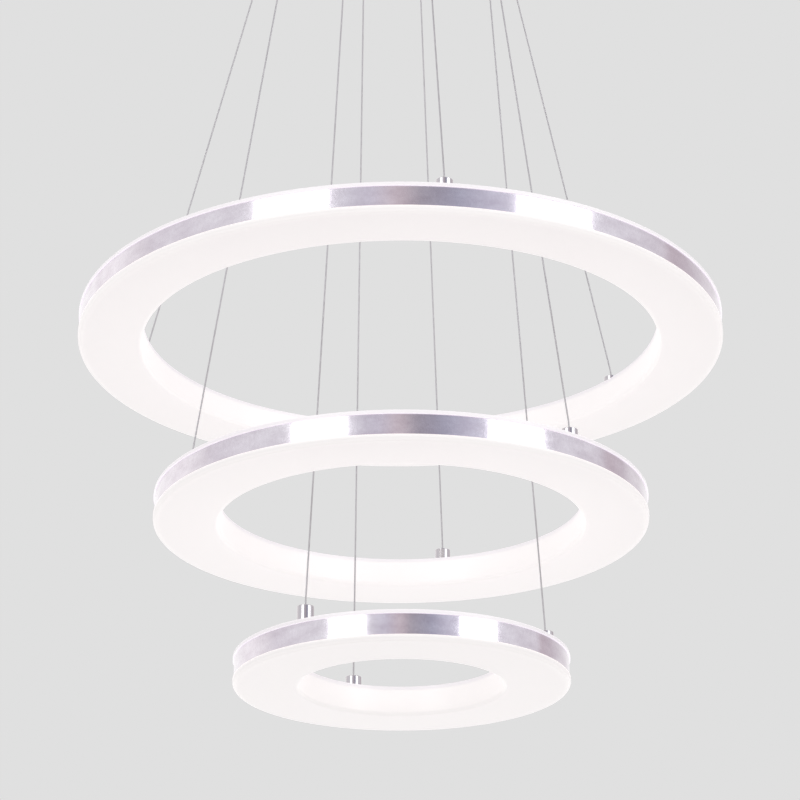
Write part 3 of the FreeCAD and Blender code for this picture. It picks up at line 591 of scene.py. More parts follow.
def turning_tree():
    """Turns an outline once round the Z axis, smooth but for its sharp corners."""
    nodes, given = new_tree("turned_form", Sides="Int", Crease="Float", Material="Material")
    outline_curve = nodes.add("GeometryNodeMeshToCurve", {}, {"Mesh": given["Geometry"]})
    circle = nodes.add("GeometryNodeCurvePrimitiveCircle", {}, {
        "Resolution": given["Sides"], "Radius": TURNING_CIRCLE})
    upright = nodes.add("GeometryNodeSetCurveNormal", {"mode": "Z_UP"}, {"Curve": circle})
    shell = nodes.add("GeometryNodeCurveToMesh", {}, {"Curve": upright, "Profile Curve": outline_curve})
    whole = nodes.add("GeometryNodeMergeByDistance", {}, {
        "Geometry": shell, "Distance": MERGE_DISTANCE})
    smooth = nodes.add("GeometryNodeSetShadeSmooth", {"domain": "FACE"}, {"Geometry": whole})
    bend = nodes.add("GeometryNodeInputMeshEdgeAngle")
    creased = nodes.add("GeometryNodeSetShadeSmooth", {"domain": "EDGE"}, {
        "Geometry": smooth, "Selection": bend > given["Crease"], "Shade Smooth": False})
    return end_tree(nodes, creased, given)


def copying_tree():
    """Sets copies of a form evenly round a circle about the Z axis."""
    nodes, given = new_tree("round_copies", Count="Int", Circle="Float", First="Float",
                            Height="Float", Material="Material")
    spots = nodes.add("GeometryNodePoints", {}, {"Count": given["Count"]})
    order = nodes.add("GeometryNodeInputIndex")
    turn = given["First"] + order * (2 * math.pi) / given["Count"]
    place = nodes.add("ShaderNodeCombineXYZ", {}, {
        "X": given["Circle"] * turn.maths("COSINE", turn),
        "Y": given["Circle"] * turn.maths("SINE", turn),
        "Z": given["Height"]})
    placed = nodes.add("GeometryNodeSetPosition", {}, {"Geometry": spots, "Position": place})
    around = nodes.add("ShaderNodeCombineXYZ", {}, {"Z": turn})
    facing = nodes.add("FunctionNodeEulerToRotation", {}, {"Euler": around})
    copies = nodes.add("GeometryNodeInstanceOnPoints", {}, {
        "Points": placed, "Instance": given["Geometry"], "Rotation": facing})
    return end_tree(nodes, copies, given)


def coil_tree():
    """Winds a round wire into a coil standing on Z = 0; its start mesh isn't used."""
    nodes, given = new_tree("wound_coil", Turns="Float", Radius="Float", Height="Float",
                            Wire="Float", Material="Material")
    helix = nodes.add("GeometryNodeCurveSpiral", {}, {
        "Resolution": COIL_STEPS, "Rotations": given["Turns"], "Start Radius": given["Radius"],
        "End Radius": given["Radius"], "Height": given["Height"]})
    section = nodes.add("GeometryNodeCurvePrimitiveCircle", {}, {
        "Resolution": COIL_SIDES, "Radius": given["Wire"]})
    coil = nodes.add("GeometryNodeCurveToMesh", {}, {
        "Curve": helix, "Profile Curve": section, "Fill Caps": True})
    smooth = nodes.add("GeometryNodeSetShadeSmooth", {}, {"Geometry": coil})
    return end_tree(nodes, smooth, given)


def rounded(corners, steps):
    """The points of an outline; a corner of (radius, height, rounding) becomes an arc."""
    points = []
    for before, corner, after in zip(corners[-1:] + corners[:-1], corners, corners[1:] + corners[:1]):
        here = Vector(corner[:2])
        if len(corner) == 2:
            points.append(here)
            continue
        rounding = corner[2]
        back = (Vector(before[:2]) - here).normalized()
        ahead = (Vector(after[:2]) - here).normalized()
        half = back.angle(ahead) / 2
        reach = rounding / math.tan(half)
        centre = here + (back + ahead).normalized() * (rounding / math.sin(half))
        # A point just past each end of the arc keeps the flats beside it flat when shaded smooth.
        points.append(here + back * reach * FLAT_MARGIN)
        for step in range(steps + 1):
            chord = (back * reach).lerp(ahead * reach, step / steps) + here - centre
            points.append(centre + chord.normalized() * rounding)
        points.append(here + ahead * reach * FLAT_MARGIN)
    return points


def turned(corners, sides, crease=0.6, steps=5):
    """A form turned about Z from corners of (radius, height) or (radius, height, rounding)."""
    points = rounded(corners, steps)
    count = len(points)
    on_axis = points[0].x == 0 and points[-1].x == 0
    edges = [(index, (index + 1) % count) for index in range(count - on_axis)]
    start = bpy.data.meshes.new("outline")
    start.from_pydata([(point.x - TURNING_CIRCLE, -point.y, 0) for point in points], edges, [])
    return outwards(grow(TURNED_FORM, start, Sides=sides, Crease=crease))


def round_bar(radius, low, high, sides=24):
    """A plain bar about Z between two heights, to cut a hole or a well with."""
    return turned([(0, low), (radius, low), (radius, high), (0, high)], sides)


def outwards(data):
    """Points a closed mesh's faces outwards."""
    mesh = bmesh.new()
    mesh.from_mesh(data)
    bmesh.ops.recalc_face_normals(mesh, faces=mesh.faces)
    mesh.to_mesh(data)
    mesh.free()
    return data


def round_copies(form, count, circle, first, height, material):
    """Copies of a form round the lamp's axis; first is the angle of the first one, in degrees."""
    return grow(ROUND_COPIES, form, Count=count, Circle=circle, First=math.radians(first),
                Height=height, Material=material)


def block(low, high, bevel=0.0, segments=2):
    """A box between two corners, its edges rounded over."""
    mesh = bmesh.new()
    bmesh.ops.create_cube(mesh, size=1.0)
    for vertex in mesh.verts:
        for axis in range(3):
            vertex.co[axis] = high[axis] if vertex.co[axis] > 0 else low[axis]
    if bevel:
        bmesh.ops.bevel(mesh, geom=mesh.edges[:], offset=bevel, segments=segments, profile=0.5,
                        affect="EDGES")
    return finished(mesh, "block")


def carved(form, *tools):
    """The form with the tools' shapes cut out of it."""
    holder = link(bpy.data.objects.new("carved", form))
    cutters = [link(bpy.data.objects.new("tool", tool)) for tool in tools]
    for cutter in cutters:
        cut = holder.modifiers.new("cut", "BOOLEAN")
        cut.operation = "DIFFERENCE"
        cut.solver = "EXACT"
        cut.object = cutter
    mesh = settled(holder)
    for cutter in cutters:
        bpy.data.objects.remove(cutter)
    return mesh


def gathered(*forms, moves=()):
    """Several meshes as one, each moved by its own matrix where moves are given."""
    mesh = bmesh.new()
    for index, form in enumerate(forms):
        part = form.copy()
        if moves:
            part.transform(moves[index])
        mesh.from_mesh(part)
    data = bpy.data.meshes.new("gathered")
    mesh.to_mesh(data)
    mesh.free()
    return data


def shaded(data, crease=0.6):
    """Smooth but for corners sharper than the crease."""
    data.set_sharp_from_angle(angle=crease)
    data.polygons.foreach_set("use_smooth", [True] * len(data.polygons))
    return data


def fitted(name, data, body, slot, *nodes, finish=None):
    """A finished piece: its mesh, its finish, what carries it and the solids that it stands for."""
    data.materials.clear()
    data.materials.append(finish or finishes[slot])
    piece = link(bpy.data.objects.new(name, data))
    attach(piece, body)
    if nodes:
        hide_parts(*nodes)


# ---------------------------------------------------------------- screws
# A screw's length is its shank's, up to the seat of its head.
Screw = namedtuple("Screw", "head head_height shank length recess sides")
COVER_SCREW = Screw(0.0055, 0.0016, 0.0028, 0.0099, 0.0032, 32)
DRIVER_SCREW = Screw(0.0048, 0.0012, 0.0024, 0.0036, 0.0028, 24)
CLAMP_SCREW = Screw(0.0028, 0.0010, 0.0020, 0.0012, 0.0020, 20)
EARTH_SCREW = Screw(0.0080, 0.0025, 0.0040, 0.0043, 0.0045, 32)
THREAD_PITCH = 0.0006

# Shares of a head's height: its side and the two roundings above it, and its recess's depth.
HEAD_SIDE = 0.55
HEAD_SHOULDER = 0.3
HEAD_CROWN = 0.25
RECESS_DEPTH = 0.55

# The radius of a head's flat top as a share of the head's width, and the width of its recess's
# arms as a share of their length.
HEAD_FLAT = 0.36
RECESS_WIDTH = 0.26


def cross_recess(screw, top):
    """The two crossed blocks that cut a cross recess into a screw's head."""
    half = screw.recess * RECESS_WIDTH / 2
    reach = screw.recess / 2
    depth = screw.head_height * RECESS_DEPTH
    return (
        block((-half, -reach, top - depth), (half, reach, top + depth)),
        block((-reach, -half, top - depth), (reach, half, top + depth)),
    )


def screw_form(screw):
    """A round-headed cross screw pointing down, with the end of its shank at Z = 0."""
    crest = screw.shank / 2
    root = crest - THREAD_PITCH / 2
    rim = screw.head / 2
    seat = screw.length
    top = seat + screw.head_height
    corners = [(0, 0), (root, 0)]
    for index in range(int((seat - 2 * THREAD_PITCH) / THREAD_PITCH)):
        height = THREAD_PITCH * (index + 0.5)
        corners += [(root, height), (crest, height + THREAD_PITCH / 2)]
    corners += [
        (root, seat - THREAD_PITCH), (crest, seat), (rim - ARRIS, seat), (rim, seat + ARRIS),
        (rim, seat + screw.head_height * HEAD_SIDE, screw.head_height * HEAD_SHOULDER),
        (screw.head * HEAD_FLAT, top, screw.head_height * HEAD_CROWN), (0, top),
    ]
    form = turned(corners, screw.sides, steps=3)
    return shaded(carved(form, *cross_recess(screw, top)))


# ---------------------------------------------------------------- the rings
RING_SIDES = 256

# Heights above a ring's underside.
FLOOR = 0.0032
BOARD_SEAT = 0.0141
COVER_SEAT = 0.0157

WALL = 0.0025
BODY_HOLE_EDGE = 0.0022
BODY_OUTER_EDGE = 0.0027
LIP_BEVEL_WIDTH = 0.0004
LIP_BEVEL_HEIGHT = 0.0003

BOSS_RADIUS = 0.0035
BOSS_BORE = 0.00145
BOSS_BORE_FLOOR = 0.004

PLATE_HOLE_EDGE = 0.0003
PLATE_OUTER_EDGE = 0.0008
SCREW_INSET = 0.0075
SCREW_HOLE = 0.0016
STUD_HOLE = 0.0032
DRILL_LENGTH = 0.010
DRILL_RUN_OUT = 0.004

BAND_FACE_INSET = 0.0007
BAND_BACK_INSET = 0.0022
BAND_EDGE = 0.00012

STUD_RADIUS = 0.0050
STUD_NECK = 0.0030
STUD_NECK_LENGTH = 0.0069
CRIMP_BORE = 0.0016
CRIMP_BORE_TOP = 0.0095
WIRE_HOLE = 0.0007


def at_screws(form, ring, height, material=None):
    """Copies of a form at a ring's cover screws; the first is half a step past the first stud."""
    return round_copies(form, ring.screws, ring.radius - SCREW_INSET, ring.angle + 180.0 / ring.screws,
                        height, material)


def at_studs(form, ring, height, material=None):
    """Copies of a form at a ring's wire studs."""
    return round_copies(form, WIRES_PER_RING, ring.stud_circle, ring.angle, height, material)


def make_opal_body(name, ring):
    """The lit moulding: underside, inner wall and lower lip, with the bosses for the cover screws."""
    under = -ring.drop
    outer = ring.radius
    inner = outer - RING_WIDTH
    shell = turned([
        (inner, under, BODY_HOLE_EDGE), (inner, under + COVER_SEAT), (inner + WALL, under + COVER_SEAT),
        (inner + WALL, under + FLOOR, FULL_EDGE), (outer - LIP_BEVEL_WIDTH, under + FLOOR),
        (outer, under + FLOOR - LIP_BEVEL_HEIGHT), (outer, under, BODY_OUTER_EDGE),
    ], RING_SIDES, steps=8)
    boss = turned([
        (BOSS_BORE, FLOOR + BOSS_BORE_FLOOR), (BOSS_BORE, BOARD_SEAT), (BOSS_RADIUS, BOARD_SEAT),
        (BOSS_RADIUS, FLOOR),
    ], sides=24)
    bosses = at_screws(boss, ring, under, finishes["opal_diffuser"])
    fitted(f"{name}_opal_body", gathered(shell, bosses), f"{name}_ring", "opal_diffuser",
           f"{name}_diffuser", finish=ring_opal(name, "opal_diffuser", OPAL_GLOW, BODY_PAINTED_LIGHT_AND_SHADE))


def make_opal_plate(name, ring):
    """The top cover, drilled for the studs and the cover screws."""
    under = -ring.drop
    outer = ring.radius
    inner = outer - RING_WIDTH
    plate = turned([
        (inner, under + COVER_SEAT), (inner, under + RING_HEIGHT, PLATE_HOLE_EDGE),
        (outer, under + RING_HEIGHT, PLATE_OUTER_EDGE), (outer, under + COVER_SEAT),
    ], RING_SIDES, steps=4)
    lowest = under + COVER_SEAT - DRILL_RUN_OUT
    stud_holes = at_studs(round_bar(STUD_HOLE, 0, DRILL_LENGTH, sides=32), ring, lowest)
    screw_holes = at_screws(round_bar(SCREW_HOLE, 0, DRILL_LENGTH), ring, lowest)
    fitted(f"{name}_opal_plate", shaded(carved(plate, stud_holes, screw_holes)), f"{name}_ring",
           "opal_cover", f"{name}_top_cover",
           finish=ring_opal(name, "opal_cover", COVER_GLOW, PLATE_PAINTED_LIGHT))


def make_hoop(name, ring):
    """The polished outer band."""
    under = -ring.drop
    face = ring.radius - BAND_FACE_INSET
    back = ring.radius - BAND_BACK_INSET
    hoop = turned([
        (back, under + FLOOR), (back, under + COVER_SEAT), (face, under + COVER_SEAT, BAND_EDGE),
        (face, under + FLOOR, BAND_EDGE),
    ], RING_SIDES, steps=2)
    fitted(f"{name}_polished_hoop", hoop, f"{name}_ring", "band_metal", f"{name}_outer_band")


def make_studs(name, ring):
    """The turned wire studs: a neck with the crimp's bore below, and the wire's hole on top."""
    stud = turned([
        (CRIMP_BORE, -STUD_NECK_LENGTH), (CRIMP_BORE, CRIMP_BORE_TOP), (WIRE_HOLE, CRIMP_BORE_TOP),
        (WIRE_HOLE, STUD_HEIGHT - ARRIS), (WIRE_HOLE + ARRIS, STUD_HEIGHT),
        (STUD_RADIUS, STUD_HEIGHT, FULL_EDGE), (STUD_RADIUS, ARRIS), (STUD_RADIUS - ARRIS, 0),
        (STUD_NECK, 0), (STUD_NECK, -STUD_NECK_LENGTH),
    ], sides=48)
    studs = at_studs(stud, ring, RING_HEIGHT - ring.drop, finishes["fitting_chrome"])
    fitted(f"{name}_turned_studs", studs, f"{name}_ring", "fitting_chrome", f"{name}_wire_studs")


def make_cover_screws(name, ring):
    """The screws that hold the top cover down on the body's bosses."""
    tips = RING_HEIGHT - ring.drop - COVER_SCREW.length
    screws = at_screws(screw_form(COVER_SCREW), ring, tips, finishes["screw_steel"])
    fitted(f"{name}_cross_screws", screws, f"{name}_ring", "screw_steel", f"{name}_cover_screws")


# ---------------------------------------------------------------- wire grips
GRIPS = WIRES_PER_RING * len(RINGS)

BARREL_BOTTOM = -0.0615
BARREL_LENGTH = 0.015
BARREL_RADIUS = 0.005
BARREL_BORE = 0.0034
MOUTH_RADIUS = 0.00255
MOUTH_DEPTH = 0.003
GROOVE_TOPS = (0.0050, 0.0036)
GROOVE_WIDTH = 0.0007

BUSH_BOTTOM = -0.0495
BUSH_LENGTH = 0.0145
BUSH_BORE = 0.0012
BUSH_CREST = 0.0040
BUSH_ROOT = 0.0037
BUSH_PITCH = 0.001
BUSH_RIDGES = 9
BUSH_NOSE = 0.00335
FLANGE_RADIUS = 0.005
FLANGE_FOOT = 0.003
FLANGE_TOP = 0.0045

PLUNGER_LENGTH = 0.01355
PLUNGER_RADIUS = 0.0025
PLUNGER_CHAMFER = 0.0004
PLUNGER_GUIDE = 0.0020
COLLAR_RADIUS = 0.00335
COLLAR_FOOT = 0.00655
COLLAR_TOP = 0.00855

SPRING_LENGTH = 0.0069
SPRING_RADIUS = 0.0025
SPRING_WIRE = 0.00025
SPRING_TURNS = 6.0


def grips():
    """Every grip, as (ring, number, angle)."""
    for name in RINGS:
        for index in range(WIRES_PER_RING):
            yield name, index + 1, grip_angle(name, index)


def make_barrels():
    """The grips' barrels, each with two grooves turned round it."""
    groove_floor = BARREL_RADIUS - ARRIS
    corners = [
        (MOUTH_RADIUS, 0, EASED_EDGE), (MOUTH_RADIUS, MOUTH_DEPTH), (BARREL_BORE, MOUTH_DEPTH),
        (BARREL_BORE, BARREL_LENGTH), (BARREL_RADIUS, BARREL_LENGTH, ARRIS),
    ]
    for top in GROOVE_TOPS:
        corners += [
            (BARREL_RADIUS, top), (groove_floor, top - ARRIS),
            (groove_floor, top - GROOVE_WIDTH + ARRIS), (BARREL_RADIUS, top - GROOVE_WIDTH),
        ]
    corners.append((BARREL_RADIUS, 0, FULL_EDGE))
    barrels = round_copies(turned(corners, sides=48), GRIPS, GRIP_CIRCLE, GRIP_FIRST_ANGLE,
                           BARREL_BOTTOM, finishes["fitting_chrome"])
    fitted("grooved_barrels", barrels, "canopy", "fitting_chrome", "grip_barrels")


def make_bushes():
    """The grips' insulating bushes: a thread's ridges, a flange and a plain nose."""
    corners = [(BUSH_BORE, 0), (BUSH_BORE, BUSH_LENGTH), (BUSH_ROOT, BUSH_LENGTH)]
    for ridge in range(BUSH_RIDGES):
        height = BUSH_LENGTH - BUSH_PITCH * (ridge + 0.5)
        corners += [(BUSH_CREST, height), (BUSH_ROOT, height - BUSH_PITCH / 2)]
    corners += [
        (BUSH_ROOT, FLANGE_TOP), (FLANGE_RADIUS, FLANGE_TOP, EASED_EDGE),
        (FLANGE_RADIUS, FLANGE_FOOT, EASED_EDGE), (BUSH_NOSE, FLANGE_FOOT), (BUSH_NOSE, 0),
    ]
    bush = turned(corners, sides=36, crease=0.5, steps=3)
    bushes = round_copies(bush, GRIPS, GRIP_CIRCLE, GRIP_FIRST_ANGLE, BUSH_BOTTOM,
                          finishes["bush_plastic"])
    fitted("threaded_bushes", bushes, "canopy", "bush_plastic", "grip_bushes")


def make_plungers():
    """The release tips and, inside the barrels, the coils that push them out."""
    plunger = turned([
        (WIRE_HOLE + PLUNGER_CHAMFER, 0, ARRIS), (WIRE_HOLE, PLUNGER_CHAMFER),
        (WIRE_HOLE, PLUNGER_LENGTH), (PLUNGER_GUIDE, PLUNGER_LENGTH, ARRIS),
        (PLUNGER_GUIDE, COLLAR_TOP), (COLLAR_RADIUS, COLLAR_TOP), (COLLAR_RADIUS, COLLAR_FOOT),
        (PLUNGER_RADIUS, COLLAR_FOOT), (PLUNGER_RADIUS, PLUNGER_CHAMFER),
        (PLUNGER_RADIUS - PLUNGER_CHAMFER, 0),
    ], sides=36, steps=3)
    coil = grow(WOUND_COIL, bpy.data.meshes.new("nothing"), Turns=SPRING_TURNS, Radius=SPRING_RADIUS,
                Height=SPRING_LENGTH - 2 * SPRING_WIRE, Wire=SPRING_WIRE,
                Material=finishes["spring_steel"])
    spring_foot = BUSH_BOTTOM - SPRING_LENGTH
    for name, number, angle in grips():
        body = f"{name}_plunger_{number}"
        tip = round_copies(plunger, 1, GRIP_CIRCLE, angle, PLUNGER_TIP, finishes["plunger_chrome"])
        fitted(f"{name}_release_tip_{number}", tip, body, "plunger_chrome", body)
        wound = round_copies(coil, 1, GRIP_CIRCLE, angle, spring_foot + SPRING_WIRE,
                             finishes["spring_steel"])
        spring = link(bpy.data.objects.new(f"{name}_grip_coil_{number}", wound))
        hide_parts("grip_springs")
        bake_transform(spring)


# ---------------------------------------------------------------- inside the canopy
CANOPY_FLOOR = -0.0438
CUTTER_RISE = 0.001

TAPE_THICKNESS = 0.001
DRIVER_INNER_FACE = 0.05604
DRIVER_TURNS = {"large": 59.0, "medium": 179.0, "small": 299.0}
DRIVER_WIDTH = 0.032
DRIVER_HALF_LENGTH = 0.040
DRIVER_HEIGHT = 0.022
LID_HEIGHT = 0.0046
SEAM = 0.0006
NECK_FOOT = 0.0060
NECK_TOP = 0.0040
TRAY_BEVEL = 0.0018
LID_BEVEL = 0.0014
VENTS = 10
VENT_STEP = 0.0036
VENT_HALF_WIDTH = 0.0006
VENT_REACH = 0.008
VENT_DEPTH = 0.0012
WELL_RADIUS = 0.0028
WELL_DEPTH = 0.0016
WELL_PLACE = 0.0325

TERMINAL_HALF_LENGTH = 0.016
TERMINAL_HALF_WIDTH = 0.008
TERMINAL_HEIGHT = 0.009
TERMINAL_STEP = 0.009
TERMINAL_WAYS = (-1, 0, 1)
BARRIERS = (-0.0153, -0.0045, 0.0045, 0.0153)
BARRIER_HALF_WIDTH = 0.0007
BARRIER_RISE = 0.0016
BARRIER_HEIGHT = 0.0030
TERMINAL_BEVEL = 0.0006
BARRIER_BEVEL = 0.0004
CLAMP_WELL_RADIUS = 0.0015
CLAMP_WELL_DEPTH = 0.0045
CLAMP_TIP_DEPTH = 0.0042

LEAD_DIAMETER = 0.0016
LEAD_LEVEL = 0.004
LEAD_OFFSET = 0.0035
LEAD_RUN = 0.005


def spin(angle):
    """A turn about the lamp's axis."""
    return Matrix.Rotation(math.radians(angle), 4, "Z")


def well(radius, depth, place):
    """A cutter for a round well, that sinks to a depth below a place."""
    cutter = round_bar(radius, -depth, CUTTER_RISE)
    cutter.transform(Matrix.Translation(place))
    return cutter


def make_drivers():
    """Moulded driver cases: a tray, a lid with a seam under it, vents, and a screw at each end."""
    foot = CANOPY_FLOOR + TAPE_THICKNESS
    top = foot + DRIVER_HEIGHT
    near = DRIVER_INNER_FACE
    far = near + DRIVER_WIDTH
    middle = (near + far) / 2
    side = DRIVER_HALF_LENGTH
    tray = block((near, -side, foot), (far, side, top - LID_HEIGHT - SEAM), TRAY_BEVEL, segments=3)
    neck = block((near + SEAM, SEAM - side, top - NECK_FOOT), (far - SEAM, side - SEAM, top - NECK_TOP))
    lid = block((near, -side, top - LID_HEIGHT), (far, side, top), LID_BEVEL, segments=3)
    cutters = []
    for index in range(VENTS):
        shift = (index - (VENTS - 1) / 2) * VENT_STEP
        cutters.append(block(
            (middle - VENT_REACH, shift - VENT_HALF_WIDTH, top - VENT_DEPTH),
            (middle + VENT_REACH, shift + VENT_HALF_WIDTH, top + CUTTER_RISE)))
    for end in (-1, 1):
        cutters.append(well(WELL_RADIUS, WELL_DEPTH, (middle, end * WELL_PLACE, top)))
    case = gathered(tray, neck, carved(lid, *cutters))
    screw = screw_form(DRIVER_SCREW)
    tip = top - WELL_DEPTH - DRIVER_SCREW.length
    for name, angle in DRIVER_TURNS.items():
        moved = case.copy()
        moved.transform(spin(angle))
        fitted(f"{name}_driver_case", shaded(moved), "canopy", "driver_plastic", f"{name}_ring_driver")
        places = [spin(angle) @ Matrix.Translation((middle, end * WELL_PLACE, tip)) for end in (-1, 1)]
        screws = gathered(screw, screw, moves=places)
        fitted(f"{name}_driver_screws", shaded(screws), "canopy", "screw_steel")


def make_terminal_block():
    """Three-way screw terminal: a moulded block with raised barriers and brass clamp screws."""
    top = CANOPY_FLOOR + TERMINAL_HEIGHT
    length = TERMINAL_HALF_LENGTH
    width = TERMINAL_HALF_WIDTH
    base = block((-length, -width, CANOPY_FLOOR), (length, width, top - BARRIER_RISE),
                 TERMINAL_BEVEL)
    wells = [
        well(CLAMP_WELL_RADIUS, CLAMP_WELL_DEPTH, (TERMINAL_STEP * way, 0, top))
        for way in TERMINAL_WAYS
    ]
    barriers = [
        block((across - BARRIER_HALF_WIDTH, -width, top - BARRIER_HEIGHT),
              (across + BARRIER_HALF_WIDTH, width, top), BARRIER_BEVEL)
        for across in BARRIERS
    ]
    fitted("barrier_terminal", shaded(gathered(carved(base, *wells), *barriers)), "canopy",
           "terminal_plastic", "mains_terminal_block")
    clamp = screw_form(CLAMP_SCREW)
    places = [
        Matrix.Translation((TERMINAL_STEP * way, 0, top - CLAMP_TIP_DEPTH)) for way in TERMINAL_WAYS
    ]
    clamps = gathered(clamp, clamp, clamp, moves=places)
    fitted("terminal_clamps", shaded(clamps), "canopy", "brass_fitting")


def make_mains_leads():
    """Two insulated leads from the terminal block to each driver."""
    level = CANOPY_FLOOR + LEAD_LEVEL
    starts = (
        (Vector((TERMINAL_STEP, TERMINAL_HALF_WIDTH, level)), Vector((0, 1, 0))),
        (Vector((-TERMINAL_HALF_LENGTH, 0, level)), Vector((-1, 0, 0))),
        (Vector((TERMINAL_STEP, -TERMINAL_HALF_WIDTH, level)), Vector((0, -1, 0))),
    )
    routes = []
    for (start, away), angle in zip(starts, DRIVER_TURNS.values()):
        sideways = Vector((-away.y, away.x, 0))
        inwards = spin(angle) @ Vector((1, 0, 0))
        for offset in (-LEAD_OFFSET, LEAD_OFFSET):
            first = start + sideways * offset
            last = spin(angle) @ Vector((DRIVER_INNER_FACE, offset, level))
            routes.append([first, first + away * LEAD_RUN, last - inwards * LEAD_RUN, last])
    leads = tubes("leads", routes, LEAD_DIAMETER, sides=12)
    fitted("insulated_leads", leads, "canopy", "lead_insulation", "mains_leads")


# How far to the side of its driver's middle each ring's tails arrive, in steps.
TAIL_SIDES = {"large": (0, 1, -1), "medium": (-1, 1, 0), "small": (-1, 0, 1)}
TAIL_SIDE_STEP = 0.005
TAIL_LOWEST = -0.0316
TAIL_RISE = 0.0012
TAIL_RUN = 0.008


def make_wire_tails():
    """Each wire's tail: up out of its grip to a level of its own and across to its ring's driver."""
    routes = []
    for order, (name, number, angle) in enumerate(grips()):
        level = TAIL_LOWEST + TAIL_RISE * order
        across = TAIL_SIDE_STEP * TAIL_SIDES[name][number - 1]
        turn = spin(DRIVER_TURNS[name])
        routes.append([
            round_axis(GRIP_CIRCLE, angle, GRIP_TOP),
            round_axis(GRIP_CIRCLE, angle, level),
            turn @ Vector((DRIVER_INNER_FACE - TAIL_RUN, across, level)),
            turn @ Vector((DRIVER_INNER_FACE, across, level)),
        ])
    tails = tubes("tails", routes, WIRE_DIAMETER, sides=10)
    fitted("driver_tails", tails, "canopy", "wire_steel", "wire_tails")


SIDE_SCREW_TIP = 0.092384
SIDE_SCREW_LEVEL = -0.008
SIDE_SCREW_LENGTH = 0.007616
SIDE_SCREW_RADIUS = 0.0020
SIDE_SCREW_CHAMFER = 0.0003

# The knob's outline is given as (inwards from its radius, height above its seat).
KNOB_RADIUS = 0.0045
KNOB_OUTLINE = ((0.0005, 0), (0, 0.0004), (0, 0.0042), (0.0006, 0.005))
KNURLS = 32
KNURL_DEPTH = 0.00025
KNOB_SLOT_HALF_WIDTH = 0.0004
KNOB_SLOT_REACH = 0.006
KNOB_SLOT_FLOOR = 0.0042
KNOB_SLOT_TOP = 0.006


def knurled_knob():
    """The knob at the end of a side screw's shank, knurled round its side."""
    mesh = bmesh.new()
    loops = []
    for inwards, height in KNOB_OUTLINE:
        loop = []
        for step in range(KNURLS * 2):
            turn = math.pi * step / KNURLS
            radius = KNOB_RADIUS - inwards - (KNURL_DEPTH if step % 2 else 0.0)
            place = (radius * math.cos(turn), radius * math.sin(turn), SIDE_SCREW_LENGTH + height)
            loop.append(mesh.verts.new(place))
        loops.append(loop)
    for low, high in zip(loops, loops[1:]):
        for step in range(KNURLS * 2):
            following = (step + 1) % (KNURLS * 2)
            mesh.faces.new((low[step], low[following], high[following], high[step]))
    mesh.faces.new(list(reversed(loops[0])))
    mesh.faces.new(loops[-1])
    return finished(mesh, "knob")


def make_side_screws():
    """Knurled side screws, driven inwards through the canopy's wall."""
    tip_radius = SIDE_SCREW_RADIUS - SIDE_SCREW_CHAMFER
    shank = turned([
        (0, 0), (tip_radius, 0), (SIDE_SCREW_RADIUS, SIDE_SCREW_CHAMFER),
        (SIDE_SCREW_RADIUS, SIDE_SCREW_LENGTH), (0, SIDE_SCREW_LENGTH),
    ], sides=28)
    slot_cut = block(
        (-KNOB_SLOT_HALF_WIDTH, -KNOB_SLOT_REACH, SIDE_SCREW_LENGTH + KNOB_SLOT_FLOOR),
        (KNOB_SLOT_HALF_WIDTH, KNOB_SLOT_REACH, SIDE_SCREW_LENGTH + KNOB_SLOT_TOP))
    form = gathered(shank, carved(knurled_knob(), slot_cut))
    laid_down = Matrix.Rotation(math.pi / 2, 4, "Y")
    lying = Matrix.Translation((SIDE_SCREW_TIP, 0, SIDE_SCREW_LEVEL)) @ laid_down
    pair = gathered(form, form, moves=[spin(0) @ lying, spin(180) @ lying])
    fitted("knurled_side_screws", shaded(pair, crease=0.35), "canopy", "fitting_chrome",
           "canopy_side_screws")


EARTH_SCREW_TIP = (0.024, 0, -0.0002)


def make_earth_screw():
    """The brass earth screw, its head down and its tip just under the ceiling."""
    screw = screw_form(EARTH_SCREW)
    screw.transform(Matrix.Translation(EARTH_SCREW_TIP) @ Matrix.Rotation(math.pi, 4, "X"))
    fitted("brass_earth_screw", shaded(screw), "canopy", "brass_fitting", "earth_screw")


# ---------------------------------------------------------------- floor, lamps and background
BACKGROUND = 0.745
FLOOR_LEVEL = -2.3
FLOOR_REACH = 14.0
FLOOR_LIFT = 0.262
SOFTBOX_DISTANCE = 1.6
ROOM_LIGHT = (0.80, 0.80, 0.81, 1.0)
ROOM_STRENGTH = 0.75


def grey(level):
    """An opaque grey."""
    return (level, level, level, 1.0)


def looks(nodes):
    """Is 1 for the rays that show the studio: straight to the camera, in a mirror or through glass."""
    rays = nodes.add("ShaderNodeLightPath")
    return rays["Is Camera Ray"] + rays["Is Glossy Ray"] + rays["Is Transmission Ray"]


def make_floor():
    """A wide pale floor that keeps the lamp's soft shadow and, from below, lets it be seen."""
    data = bpy.data.meshes.new("floor")
    corners = [(across * FLOOR_REACH, deep * FLOOR_REACH, FLOOR_LEVEL)
               for across, deep in ((-1, -1), (1, -1), (1, 1), (-1, 1))]
    data.from_pydata(corners, [], [(0, 1, 2, 3)])
    paint = Paint("floor_paint")
    blotches = paint.noise(0.4, detail=3.0)
    shader = paint.add("ShaderNodeBsdfPrincipled", {}, {
        "Base Color": paint.blend(blotches, grey(0.74), grey(0.76)),
        "Roughness": 0.7,
        "Emission Color": grey(FLOOR_LIFT),
        "Emission Strength": looks(paint)})
    clear = paint.add("ShaderNodeBsdfTransparent")
    below = paint.add("ShaderNodeNewGeometry", output="Backfacing")
    surface = paint.add("ShaderNodeMixShader", {}, {0: below, 1: shader, 2: clear})
    paint.add("ShaderNodeOutputMaterial", {}, {"Surface": surface})
    data.materials.append(paint.material)
    link(bpy.data.objects.new("floor", data))


